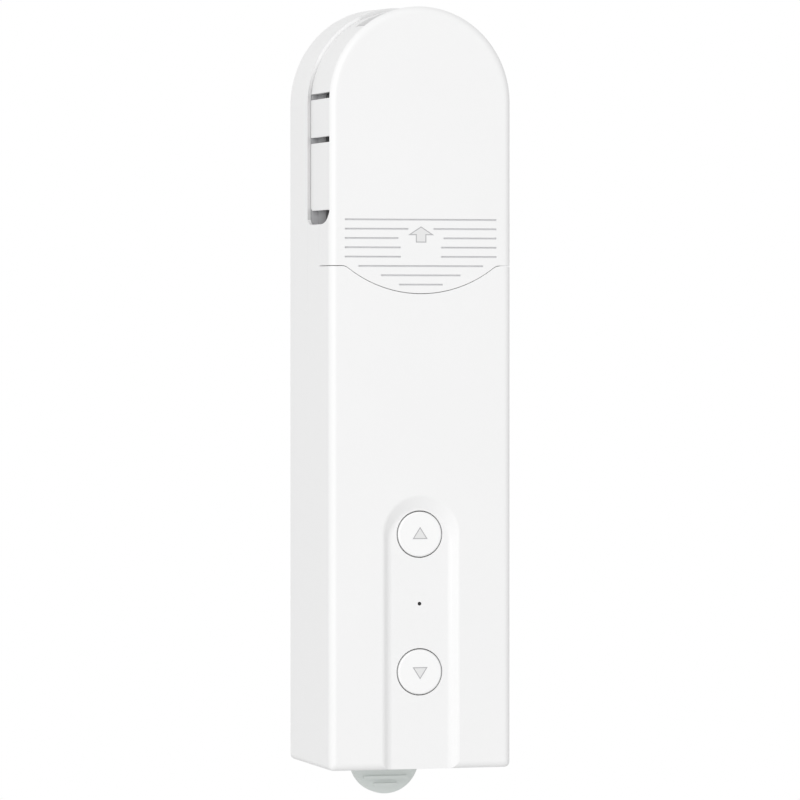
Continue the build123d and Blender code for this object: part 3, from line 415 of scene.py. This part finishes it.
def painted_shade_depth_group():
    """Mask for painted shade: rises from black at one depth to white at another."""
    inputs = (("From", "NodeSocketFloat", 0.0), ("To", "NodeSocketFloat", 0.01))
    group, start, end = new_group("Painted Shade Depth Mask", inputs, (("Mask", "NodeSocketFloat"),))
    place = node(group, "ShaderNodeTexCoord", (-900, 300))
    split = node(group, "ShaderNodeSeparateXYZ", (-700, 300))
    rise = node(group, "ShaderNodeMapRange", (-300, 100))
    group.links.new(place.outputs["Object"], split.inputs[0])
    group.links.new(split.outputs["Y"], rise.inputs["Value"])
    group.links.new(start.outputs["From"], rise.inputs["From Min"])
    group.links.new(start.outputs["To"], rise.inputs["From Max"])
    group.links.new(rise.outputs[0], end.inputs["Mask"])
    return group


def brushed_group():
    """Fine lines in one direction with soft stains, for rolled and turned metal."""
    inputs = (("Colour", "NodeSocketColor", (0.6, 0.6, 0.6, 1)),
              ("Stretch", "NodeSocketVector", (400, 6000, 400)), ("Roughness", "NodeSocketFloat", 0.3))
    outputs = (("Colour", "NodeSocketColor"), ("Roughness", "NodeSocketFloat"), ("Height", "NodeSocketFloat"))
    group, start, end = new_group("Brushed Metal", inputs, outputs)
    place = node(group, "ShaderNodeTexCoord", (-900, 300))
    stretch = node(group, "ShaderNodeVectorMath", (-700, 200), operation="MULTIPLY")
    lines = node(group, "ShaderNodeTexNoise", (-500, 200), Scale=1.0, Detail=2.0)
    stains = node(group, "ShaderNodeTexNoise", (-500, -100), Scale=STAIN_SCALE, Detail=3.0)
    group.links.new(place.outputs["Object"], stretch.inputs[0])
    group.links.new(start.outputs["Stretch"], stretch.inputs[1])
    group.links.new(stretch.outputs[0], lines.inputs["Vector"])
    group.links.new(place.outputs["Object"], stains.inputs["Vector"])
    shade = node(group, "ShaderNodeMapRange", (-250, 0))
    shade.inputs["To Min"].default_value, shade.inputs["To Max"].default_value = STAIN_SHADES
    tint = node(group, "ShaderNodeVectorMath", (0, 100), operation="SCALE")
    gloss = node(group, "ShaderNodeMath", (0, -150), operation="MULTIPLY_ADD")
    gloss.inputs[1].default_value = METAL_GLOSS_SWING
    group.links.new(stains.outputs["Fac"], shade.inputs["Value"])
    group.links.new(start.outputs["Colour"], tint.inputs[0])
    group.links.new(shade.outputs[0], tint.inputs["Scale"])
    group.links.new(lines.outputs["Fac"], gloss.inputs[0])
    group.links.new(start.outputs["Roughness"], gloss.inputs[2])
    group.links.new(tint.outputs[0], end.inputs["Colour"])
    group.links.new(gloss.outputs[0], end.inputs["Roughness"])
    group.links.new(lines.outputs["Fac"], end.inputs["Height"])
    return group


def blank_material(name):
    """A material with a principled shader and its output."""
    material = bpy.data.materials.new(name)
    material.use_nodes = True
    material.node_tree.nodes.clear()
    shader = node(material.node_tree, "ShaderNodeBsdfPrincipled", (200, 0))
    end = node(material.node_tree, "ShaderNodeOutputMaterial", (520, 0))
    material.node_tree.links.new(shader.outputs["BSDF"], end.inputs["Surface"])
    return material, shader


def group_node(material, group, values):
    """One of the shared groups in a material, with its own values."""
    made = node(material.node_tree, "ShaderNodeGroup", (-400, 0))
    made.node_tree = group
    for label, value in values.items():
        made.inputs[label].default_value = value
    return made


def join_texture(material, shader, texture, bump):
    """Colour, gloss and bump of a texture group into the shader."""
    links = material.node_tree.links
    links.new(texture.outputs["Colour"], shader.inputs["Base Color"])
    links.new(texture.outputs["Roughness"], shader.inputs["Roughness"])
    relief = node(material.node_tree, "ShaderNodeBump", (-60, -260), Strength=bump,
                  Distance=GRAIN_DEPTH)
    links.new(texture.outputs["Height"], relief.inputs["Height"])
    links.new(relief.outputs["Normal"], shader.inputs["Normal"])


def moulded_plastic(name, group, colour, roughness, grain=2200.0, cloud=0.02, bump=0.12, level=0.5):
    """Moulded plastic with a fine mould texture."""
    material, shader = blank_material(name)
    values = {"Colour": (*colour, 1), "Grain": grain, "Cloud": cloud, "Roughness": roughness}
    texture = group_node(material, group, values)
    join_texture(material, shader, texture, bump)
    shader.inputs["Specular IOR Level"].default_value = level
    return material


def shade_zone(material, group, colour, values):
    """Mix a painted shade colour into a moulded plastic where a mask group is white."""
    tree = material.node_tree
    shader = next(made for made in tree.nodes if made.type == "BSDF_PRINCIPLED")
    plain = shader.inputs["Base Color"].links[0].from_socket
    mask = group_node(material, group, values)
    mask.location = (-400, 320)
    mix = node(tree, "ShaderNodeMix", (-60, 200), data_type="RGBA")
    mix.inputs[MIX_SECOND].default_value = (*colour, 1)
    tree.links.new(mask.outputs["Mask"], mix.inputs[MIX_FACTOR])
    tree.links.new(plain, mix.inputs[MIX_FIRST])
    tree.links.new(mix.outputs[MIX_RESULT], shader.inputs["Base Color"])


def plated_metal(name, group, colour, roughness, stretch, bump=0.05):
    """Rolled, turned or plated metal."""
    material, shader = blank_material(name)
    values = {"Colour": (*colour, 1), "Stretch": stretch, "Roughness": roughness}
    texture = group_node(material, group, values)
    join_texture(material, shader, texture, bump)
    shader.inputs["Metallic"].default_value = 1.0
    return material


class SHADE_OT_finish_nodes(bpy.types.Operator):
    """Give every CAD piece the finish of its material slot, with painted shade on the cover's grip lines, the
    housing's window step and the wheel frame
    """

    bl_idname = "shade.finish_nodes"
    bl_label = "Finish the Frame Pieces"

    def execute(self, context):
        colours = context.scene.shade_colours
        moulded = moulded_group()
        brushed = brushed_group()
        finishes = {
            "white_shell": moulded_plastic("White Back", moulded, colours.shell, 0.42),
            "white_button": moulded_plastic("White Button", moulded, colours.button, 0.38),
            "grey_bracket": moulded_plastic("Grey Bracket", moulded, colours.bracket, 0.5, cloud=0.05),
            "black_plastic": moulded_plastic("Black Plastic", moulded, colours.black, 0.4),
            "clear_pipe": moulded_plastic("Smoked Pipe", moulded, colours.pipe, 0.1, bump=0.02),
            "board": moulded_plastic("Green Board", moulded, colours.board, 0.3, grain=900.0, cloud=0.4),
            # Grey wheel frame: painted shade for white plastic in the side window's shade.
            "grey_frame": moulded_plastic("Wheel Frame", moulded, colours.wheel_frame, 0.55, cloud=0.1,
                                          level=0.3),
            "frame_plastic": moulded_plastic("Dark Frame", moulded, colours.inner_frame, 0.5, cloud=0.3),
            "gear_plastic": moulded_plastic("Gear Acetal", moulded, colours.gears, 0.35, cloud=0.08),
            "wheel_plastic": moulded_plastic("Wheel Acetal", moulded, colours.wheel, 0.38, cloud=0.06),
            "cell_sleeve": moulded_plastic("Cell Sleeve", moulded, colours.sleeve, 0.22, grain=300.0,
                                           bump=0.05),
            "steel": plated_metal("Plated Steel", brushed, colours.steel, 0.22, (2500, 900, 2500)),
            "can_metal": plated_metal("Motor Can", brushed, colours.motor, 0.2, (300, 5000, 300)),
            "brass": plated_metal("Sintered Bronze", brushed, colours.bronze, 0.25, (1500, 1500, 1500)),
        }
        painted_shade_pieces = self.painted_shade_finishes(context, moulded, finishes["grey_frame"])
        slots = {part["node"]: part["material_slot"] for part in frame["record"]["subparts"]}
        for name, piece in frame["nodes"].items():
            piece.data.materials.clear()
            piece.data.materials.append(painted_shade_pieces.get(name, finishes[slots[name]]))
        return {"FINISHED"}

    def painted_shade_finishes(self, context, moulded, frame_shade_finish):
        """White with painted shade in the grip lines and on the window step, and painted shade darkening the
        wheel frame to the front.
        """
        colours = context.scene.shade_colours
        zones = context.scene.shade_zones
        low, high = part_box("slide_cover")
        # Painted shade on the floors of the grip lines.
        lines = {"Near": low[1] + zones.near, "Far": low[1] + zones.far, "Low": low[2] + zones.low,
                 "Top": low[2] + zones.top, "End": low[2] + zones.top + SHADE_EDGE, "Reach": zones.reach}
        # Painted shade on the housing's step round the side window, fading out under the crown.
        step = {"Near": zones.rim - FACE_REACH, "Far": zones.rim + FACE_REACH, "Low": low[2],
                "Top": high[2] - zones.rim_drop, "End": high[2] - zones.rim_drop * zones.rim_fade,
                "Reach": high[0] - low[0]}
        # Painted shade: the wheel frame darkens towards the front.
        frame_shade_depths = {"From": zones.rim, "To": zones.rim - zones.frame_shade}
        painted_shade_mask = painted_shade_zone_group()
        cover = moulded_plastic("White Cover Groove Shade", moulded, colours.shell, 0.42)
        housing = moulded_plastic("White Housing Step Shade", moulded, colours.shell, 0.42)
        shade_zone(cover, painted_shade_mask, colours.groove_shade, lines)
        shade_zone(housing, painted_shade_mask, colours.rim, step)
        shade_zone(frame_shade_finish, painted_shade_depth_group(), colours.frame_front_shade, frame_shade_depths)
        return {"slide_cover": cover, "main_shell": housing}


def start_piece(name):
    """Name the object a primitive has just made and go into edit mode on it."""
    piece = bpy.context.active_object
    piece.name = name
    piece.data.name = name
    bpy.ops.object.mode_set(mode="EDIT")
    return piece


def end_piece(piece, materials, body, smooth=35):
    """Leave edit mode, put the place into the mesh, and give finish, body and slot."""
    if bpy.context.mode != "OBJECT":
        bpy.ops.object.mode_set(mode="OBJECT")
    bpy.ops.object.select_all(action="DESELECT")
    piece.select_set(True)
    bpy.context.view_layer.objects.active = piece
    bpy.ops.object.transform_apply(location=True, rotation=True, scale=True)
    bpy.ops.object.shade_smooth_by_angle(angle=math.radians(smooth))
    for material in materials:
        if material.name not in piece.data.materials:
            piece.data.materials.append(material)
    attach(piece, body)
    return piece


def select_where(piece, kind, test):
    """In edit mode, select only the faces, edges or points whose middle passes a test."""
    bpy.ops.mesh.select_all(action="DESELECT")
    bpy.ops.mesh.select_mode(type=kind)
    bpy.ops.object.mode_set(mode="OBJECT")
    points = piece.data.vertices
    groups = {"FACE": piece.data.polygons, "EDGE": piece.data.edges, "VERT": points}
    for element in groups[kind]:
        if kind == "VERT":
            middle = element.co
        else:
            middle = sum((points[index].co for index in element.vertices), Vector()) / len(element.vertices)
        element.select = test(middle)
    bpy.ops.object.mode_set(mode="EDIT")


def use_modifier(piece, name, kind, **values):
    """Add a modifier with its settings and apply it."""
    modifier = piece.modifiers.new(name, kind)
    for label, value in values.items():
        setattr(modifier, label, value)
    bpy.ops.object.mode_set(mode="OBJECT")
    bpy.ops.object.select_all(action="DESELECT")
    piece.select_set(True)
    bpy.context.view_layer.objects.active = piece
    bpy.ops.object.modifier_apply(modifier=name)


def copy_piece(piece, name):
    """Copy of a piece with its own mesh, left at the same place."""
    made = piece.copy()
    made.data = piece.data.copy()
    made.name = name
    made.data.name = name
    bpy.context.collection.objects.link(made)
    return made


def join_pieces(pieces, name):
    """Join pieces into the first of them."""
    bpy.ops.object.select_all(action="DESELECT")
    for piece in pieces:
        piece.select_set(True)
    bpy.context.view_layer.objects.active = pieces[0]
    bpy.ops.object.join()
    joined = bpy.context.active_object
    joined.name = name
    joined.data.name = name
    return joined


class SHADE_OT_marks(bpy.types.Operator):
    """Lay the arrow on the cover and a triangle on each button"""

    bl_idname = "shade.marks"
    bl_label = "Arrow and Triangles"

    def execute(self, context):
        sizes = context.scene.shade_marks
        colours = context.scene.shade_colours
        moulded = bpy.data.node_groups["Moulded Texture"]
        # The step's darker grey is painted shade round each mark.
        finish = (moulded_plastic("Mark Floor", moulded, colours.mark, 0.5),
                  moulded_plastic("Mark Step Shade", moulded, colours.mark_step_shade, 0.5))
        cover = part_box("slide_cover")
        low = cover[0][2] + sizes.arrow_tip - sizes.head_height
        self.arrow(sizes, finish, cover[0][1], low)
        for name, turn in (("up_button", 0), ("down_button", math.pi)):
            self.triangle(sizes, finish, name, turn)
        return {"FINISHED"}

    def arrow(self, sizes, finish, front, base):
        """Three-sided head, its base split in three, the middle part drawn down as the shaft."""
        radius = sizes.head_height / 1.5
        bpy.ops.mesh.primitive_circle_add(vertices=3, radius=radius, fill_type="NGON",
                                          location=(0, front, base + radius / 2),
                                          rotation=(math.pi / 2, 0, 0))
        piece = start_piece("cover_arrow")
        bpy.ops.transform.resize(value=(sizes.head_width / (math.sqrt(3) * radius), 1, 1))
        select_where(piece, "EDGE", lambda middle: middle.y < -radius * 0.4)
        bpy.ops.mesh.subdivide(number_cuts=2)
        third = sizes.head_width / 6
        select_where(piece, "VERT", lambda middle: abs(middle.x) < 1.2 * third and middle.y < 0)
        bpy.ops.transform.resize(value=(sizes.shaft_width / (2 * third), 1, 1))
        select_where(piece, "EDGE", lambda middle: abs(middle.x) < SAME_PLACE and middle.y < 0)
        bpy.ops.mesh.extrude_region_move(TRANSFORM_OT_translate={"value": (0, 0, -sizes.shaft_length)})
        bpy.ops.mesh.select_all(action="SELECT")
        bpy.ops.mesh.dissolve_limited(angle_limit=math.radians(1))
        self.sink(piece, sizes, finish, "cover")

    def triangle(self, sizes, finish, button, turn):
        """Triangle in the middle of a button's face, point up or down."""
        low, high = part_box(button)
        radius = sizes.triangle_height / 1.5
        middle = (low[2] + high[2]) / 2
        shift = (sizes.triangle_raise - radius / 4) * (1 if turn == 0 else -1)
        bpy.ops.mesh.primitive_circle_add(vertices=3, radius=radius, fill_type="NGON",
                                          location=(0, low[1], middle + shift),
                                          rotation=(math.pi / 2, turn, 0))
        piece = start_piece(button.replace("button", "triangle"))
        bpy.ops.transform.resize(value=(sizes.triangle_width / (math.sqrt(3) * radius), 1, 1))
        self.sink(piece, sizes, finish, button)

    def sink(self, piece, sizes, finish, body):
        """Step round the edge in painted shade, the middle just behind it, and a wall into the piece that
        carries the mark.
        """
        for material in finish:
            piece.data.materials.append(material)
        bpy.ops.mesh.select_mode(type="FACE")
        bpy.ops.mesh.select_all(action="SELECT")
        # The whole face first takes the painted shade of the step; the inset middle then takes the mark's own
        # colour.
        piece.active_material_index = 1
        bpy.ops.object.material_slot_assign()
        bpy.ops.mesh.inset(thickness=sizes.step, depth=0)
        bpy.ops.transform.translate(value=(0, sizes.sink, 0))
        piece.active_material_index = 0
        bpy.ops.object.material_slot_assign()
        use_modifier(piece, "Wall", "SOLIDIFY", thickness=sizes.wall, offset=-1.0)
        bpy.ops.object.mode_set(mode="EDIT")
        bpy.ops.mesh.select_all(action="SELECT")
        bpy.ops.mesh.normals_make_consistent(inside=False)
        bpy.ops.transform.translate(value=(0, -sizes.proud, 0))
        end_piece(piece, finish, body)


class SHADE_OT_screws(bpy.types.Operator):
    """Cut a cross recess and a thread on every small screw"""

    bl_idname = "shade.screws"
    bl_label = "Small Screws"

    groups = ("rear_cover_screws", "gear_cover_screws", "gear_plate_screws", "board_screws", "motor_screws")

    def execute(self, context):
        sizes = context.scene.shade_screws
        steel = bpy.data.materials["Plated Steel"]
        for group in self.groups:
            places, head_radius, seat = self.measure(group)
            low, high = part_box(group)
            length = seat - low[1]
            master = self.make_screw(sizes, head_radius, high[1] - seat, length)
            copies = []
            for index, (x, z) in enumerate(places):
                made = copy_piece(master, f"{group}_{index}")
                made.location = (x, seat, z)
                made.rotation_euler = (-math.pi / 2, 0.7 * index + 0.3, 0)
                copies.append(made)
            bpy.data.objects.remove(master)
            joined = join_pieces(copies, group.replace("screws", "fasteners"))
            end_piece(joined, (steel,), "housing")
            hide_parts(group)
        return {"FINISHED"}

    def measure(self, group):
        """Places of the screws of a group, the radius of a head, and the depth of its seat."""
        points = [point.co for point in frame["nodes"][group].data.vertices]
        back = max(point.y for point in points)
        heads = [point for point in points if point.y > back - SAME_PLACE]
        clusters = []
        for point in heads:
            for cluster in clusters:
                if max(abs(cluster[0].x - point.x), abs(cluster[0].z - point.z)) < HEAD_SPREAD:
                    cluster.append(point)
                    break
            else:
                clusters.append([point])
        places = []
        for cluster in clusters:
            xs = [point.x for point in cluster]
            zs = [point.z for point in cluster]
            places.append(((min(xs) + max(xs)) / 2, (min(zs) + max(zs)) / 2))
        radius = max(math.hypot(point.x - places[0][0], point.z - places[0][1]) for point in clusters[0])
        wide = [point.y for point in points
                if abs(math.hypot(point.x - places[0][0], point.z - places[0][1]) - radius) < 10 * SAME_PLACE]
        return places, radius, min(wide)

    def make_screw(self, sizes, head_radius, head_wall, length):
        """Pan head over the origin along the height, its threaded shank under it."""
        bpy.ops.mesh.primitive_cylinder_add(vertices=40, radius=head_radius, depth=head_wall,
                                            location=(0, 0, head_wall / 2))
        head = start_piece("screw_head")
        select_where(head, "EDGE", lambda middle: middle.z > head_wall * 0.45)
        bpy.ops.mesh.bevel(offset=head_wall * 0.42, segments=5, profile=0.55)
        self.cut_recess(head, sizes, head_wall)
        bpy.ops.mesh.primitive_cylinder_add(vertices=24, radius=sizes.shank, depth=length,
                                            location=(0, 0, -length / 2 + 0.00005))
        shank = start_piece("screw_shank")
        select_where(shank, "EDGE", lambda middle: middle.z < -length * 0.45)
        bpy.ops.mesh.bevel(offset=sizes.shank * 0.5, segments=1)
        bpy.ops.object.mode_set(mode="OBJECT")
        thread = self.make_thread(sizes, length)
        return join_pieces([head, shank, thread], "screw")

    def cut_recess(self, head, sizes, head_wall):
        """Cross recess, narrower at its floor, taken out of the head."""
        arms = []
        for turn in (0, math.pi / 2):
            bpy.ops.object.mode_set(mode="OBJECT")
            bpy.ops.mesh.primitive_cube_add(size=1, location=(0, 0, head_wall), rotation=(0, 0, turn),
                                            scale=(sizes.recess, sizes.recess * 0.2, head_wall * 1.3))
            arm = start_piece("recess_arm")
            select_where(arm, "FACE", lambda middle: middle.z < -0.4)
            bpy.ops.transform.resize(value=(0.55, 0.55, 1))
            bpy.ops.object.mode_set(mode="OBJECT")
            arms.append(arm)
        for arm in arms:
            use_modifier(head, "Recess", "BOOLEAN", operation="DIFFERENCE", object=arm, solver="EXACT")
        for arm in arms:
            bpy.data.objects.remove(arm)

    def make_thread(self, sizes, length):
        """Three-sided ridge wound down the shank."""
        ridge = sizes.crest - sizes.shank
        bpy.ops.mesh.primitive_circle_add(vertices=3, radius=ridge * 0.75,
                                          location=(sizes.crest - ridge * 0.75, 0, 0),
                                          rotation=(math.pi / 2, math.pi / 2, 0))
        thread = bpy.context.active_object
        thread.name = "screw_thread"
        bpy.ops.object.transform_apply(location=True, rotation=True, scale=True)
        turns = int((length - 0.0012) / sizes.pitch)
        bpy.ops.object.mode_set(mode="EDIT")
        bpy.ops.mesh.select_all(action="SELECT")
        bpy.ops.transform.translate(value=(0, 0, -0.0005))
        use_modifier(thread, "Thread", "SCREW", axis="Z", screw_offset=-sizes.pitch, iterations=turns,
                     steps=20, render_steps=20, use_merge_vertices=False)
        bpy.ops.object.mode_set(mode="EDIT")
        bpy.ops.mesh.select_all(action="DESELECT")
        bpy.ops.mesh.select_mode(type="VERT")
        bpy.ops.mesh.select_non_manifold()
        bpy.ops.mesh.fill()
        bpy.ops.mesh.select_all(action="SELECT")
        bpy.ops.mesh.normals_make_consistent(inside=False)
        bpy.ops.object.mode_set(mode="OBJECT")
        return thread


class SHADE_OT_port(bpy.types.Operator):
    """Line the charging port's tongue and lay its contacts"""

    bl_idname = "shade.port"
    bl_label = "Charging Port"

    def execute(self, context):
        sizes = context.scene.shade_port
        low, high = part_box("usb_port")
        middle = (low[1] + high[1]) / 2
        width = (high[0] - low[0]) * sizes.tongue_span
        length = (high[2] - low[2]) * sizes.tongue_length
        bottom = low[2] + sizes.tongue_lift
        self.add_tongue(sizes, (width, length), middle, bottom)
        self.add_contacts(sizes, length * sizes.contact_length, middle, bottom + sizes.contact_lift)
        return {"FINISHED"}

    def add_tongue(self, sizes, spans, middle, bottom):
        """Flat tongue with rounded front edges."""
        width, length = spans
        bpy.ops.mesh.primitive_cube_add(size=1, location=(0, middle, bottom + length / 2),
                                        scale=(width, sizes.tongue_wall, length))
        tongue = start_piece("port_tongue")
        bpy.ops.object.mode_set(mode="OBJECT")
        bpy.ops.object.transform_apply(location=True, rotation=True, scale=True)
        bpy.ops.object.mode_set(mode="EDIT")
        select_where(tongue, "EDGE",
                     lambda edge: abs(edge.x) > width * 0.45 and abs(edge.z - bottom) < length * 0.6)
        bpy.ops.mesh.bevel(offset=sizes.tongue_round, segments=3)
        end_piece(tongue, (bpy.data.materials["Black Plastic"],), "housing")

    def add_contacts(self, sizes, length, middle, bottom):
        """Row of contacts over both faces of the tongue, four of them set back a little."""
        bpy.ops.mesh.primitive_cube_add(size=1, location=(0, middle, 0),
                                        scale=(sizes.contact_width, sizes.contact_wall, length))
        contact = start_piece("port_contact")
        bpy.ops.object.mode_set(mode="OBJECT")
        bpy.ops.object.transform_apply(location=False, rotation=True, scale=True)
        bpy.ops.object.mode_set(mode="EDIT")
        select_where(contact, "FACE", lambda face: face.z < -length * 0.4)
        bpy.ops.transform.resize(value=(0.7, 0.8, 1))
        bpy.ops.mesh.select_all(action="SELECT")
        bpy.ops.mesh.bevel(offset=sizes.contact_round, segments=1)
        bpy.ops.object.mode_set(mode="OBJECT")
        half = (sizes.contact_count - 1) / 2
        copies = []
        for index in range(sizes.contact_count):
            made = copy_piece(contact, f"port_contact_{index}")
            inner = sizes.contact_lift / 2 if index % 3 == 1 else 0
            made.location = ((index - half) * sizes.contact_pitch, middle, bottom + length / 2 + inner)
            copies.append(made)
        bpy.data.objects.remove(contact)
        joined = join_pieces(copies, "port_contacts")
        end_piece(joined, (bpy.data.materials["Sintered Bronze"],), "housing")


class SHADE_OT_stage(bpy.types.Operator):
    """Set the camera, the pale floor and the soft lamps"""

    bl_idname = "shade.stage"
    bl_label = "Stage"

    def execute(self, context):
        stage = context.scene.shade_stage
        self.set_camera(context, stage)
        self.set_floor(stage)
        self.set_world(context, stage)
        self.add_lamp("Key Lamp", stage.key_place, stage.key_size, stage.key_light)
        self.add_lamp("Fill Lamp", stage.fill_place, stage.fill_size, stage.fill_light)
        return {"FINISHED"}

    def set_camera(self, context, stage):
        """Camera at the photograph's viewing angle."""
        turn = (math.radians(stage.camera_tilt), 0, math.radians(stage.camera_turn))
        bpy.ops.object.camera_add(location=stage.camera_place, rotation=turn)
        camera = context.active_object
        camera.name = "Camera"
        camera.data.lens = stage.lens
        camera.data.sensor_width = 36
        camera.data.clip_start = 0.01
        context.scene.camera = camera

    def set_floor(self, stage):
        """Round pale floor well under the object."""
        bpy.ops.mesh.primitive_circle_add(vertices=96, radius=stage.floor_radius, fill_type="NGON",
                                          location=(0, 0, -stage.floor_drop))
        floor = bpy.context.active_object
        floor.name = "Floor"
        material, shader = blank_material("Pale Floor")
        shader.inputs["Base Color"].default_value = (*stage.floor_colour, 1)
        shader.inputs["Roughness"].default_value = 0.8
        floor.data.materials.append(material)

    def set_world(self, context, stage):
        """Even light from all round, white where the camera, gloss and glass look past the object."""
        world = bpy.data.worlds.new("Studio")
        world.use_nodes = True
        context.scene.world = world
        tree = world.node_tree
        tree.nodes.clear()
        rays = node(tree, "ShaderNodeLightPath", (-600, 200))
        seen_or_gloss = node(tree, "ShaderNodeMath", (-400, 200), operation="MAXIMUM")
        or_glass = node(tree, "ShaderNodeMath", (-220, 200), operation="MAXIMUM")
        room = node(tree, "ShaderNodeBackground", (-220, 0), Strength=stage.room_light)
        room.inputs["Color"].default_value = (1, 1, 1, 1)
        white = node(tree, "ShaderNodeBackground", (-220, -160), Strength=1.0)
        white.inputs["Color"].default_value = (1, 1, 1, 1)
        mix = node(tree, "ShaderNodeMixShader", (0, 0))
        end = node(tree, "ShaderNodeOutputWorld", (200, 0))
        tree.links.new(rays.outputs["Is Camera Ray"], seen_or_gloss.inputs[0])
        tree.links.new(rays.outputs["Is Glossy Ray"], seen_or_gloss.inputs[1])
        tree.links.new(seen_or_gloss.outputs[0], or_glass.inputs[0])
        tree.links.new(rays.outputs["Is Transmission Ray"], or_glass.inputs[1])
        tree.links.new(or_glass.outputs[0], mix.inputs["Fac"])
        tree.links.new(room.outputs[0], mix.inputs[1])
        tree.links.new(white.outputs[0], mix.inputs[2])
        tree.links.new(mix.outputs[0], end.inputs["Surface"])

    def add_lamp(self, name, place, size, power):
        """Large square lamp turned to the middle of the object."""
        turn = (-Vector(place)).to_track_quat("-Z", "Y").to_euler()
        bpy.ops.object.light_add(type="AREA", location=place, rotation=turn)
        lamp = bpy.context.active_object
        lamp.name = name
        lamp.data.shape = "SQUARE"
        lamp.data.size = size
        lamp.data.energy = power


class VIEW3D_PT_shade(bpy.types.Panel):
    """Every piece and setting of the shade motor."""

    bl_label = "Roller Shade Motor"
    bl_idname = "VIEW3D_PT_shade"
    bl_space_type = "VIEW_3D"
    bl_region_type = "UI"
    bl_category = "Shade Motor"

    def draw(self, context):
        layout = self.layout
        scene = context.scene
        for settings in (scene.shade_colours, scene.shade_zones, scene.shade_marks, scene.shade_screws,
                         scene.shade_port, scene.shade_stage):
            for name in settings.__annotations__:
                layout.prop(settings, name)
        for operator in OPERATORS:
            layout.operator(operator.bl_idname)


SETTINGS = (ShadeColours, ShadeZones, ShadeMarks, ShadeScrews, ShadePort, ShadeStage)
OPERATORS = (SHADE_OT_stage, SHADE_OT_finish_nodes, SHADE_OT_marks, SHADE_OT_screws, SHADE_OT_port)


def register():
    """Make the settings, the operators and the panel known to Blender."""
    for kind in (*SETTINGS, *OPERATORS, VIEW3D_PT_shade):
        bpy.utils.register_class(kind)
    bpy.types.Scene.shade_colours = bpy.props.PointerProperty(type=ShadeColours)
    bpy.types.Scene.shade_zones = bpy.props.PointerProperty(type=ShadeZones)
    bpy.types.Scene.shade_marks = bpy.props.PointerProperty(type=ShadeMarks)
    bpy.types.Scene.shade_screws = bpy.props.PointerProperty(type=ShadeScrews)
    bpy.types.Scene.shade_port = bpy.props.PointerProperty(type=ShadePort)
    bpy.types.Scene.shade_stage = bpy.props.PointerProperty(type=ShadeStage)


def unregister():
    """Take them out again."""
    del bpy.types.Scene.shade_stage
    del bpy.types.Scene.shade_port
    del bpy.types.Scene.shade_screws
    del bpy.types.Scene.shade_marks
    del bpy.types.Scene.shade_zones
    del bpy.types.Scene.shade_colours
    for kind in reversed((*SETTINGS, *OPERATORS, VIEW3D_PT_shade)):
        bpy.utils.unregister_class(kind)


def main():
    """Build everything in order."""
    register()
    bpy.context.scene.view_settings.view_transform = "Standard"
    bpy.ops.object.select_all(action="DESELECT")
    bpy.ops.shade.stage()
    bpy.ops.shade.finish_nodes()
    bpy.ops.object.select_all(action="DESELECT")
    bpy.ops.shade.marks()
    bpy.ops.shade.screws()
    bpy.ops.shade.port()


if __name__ == "__main__":
    main()
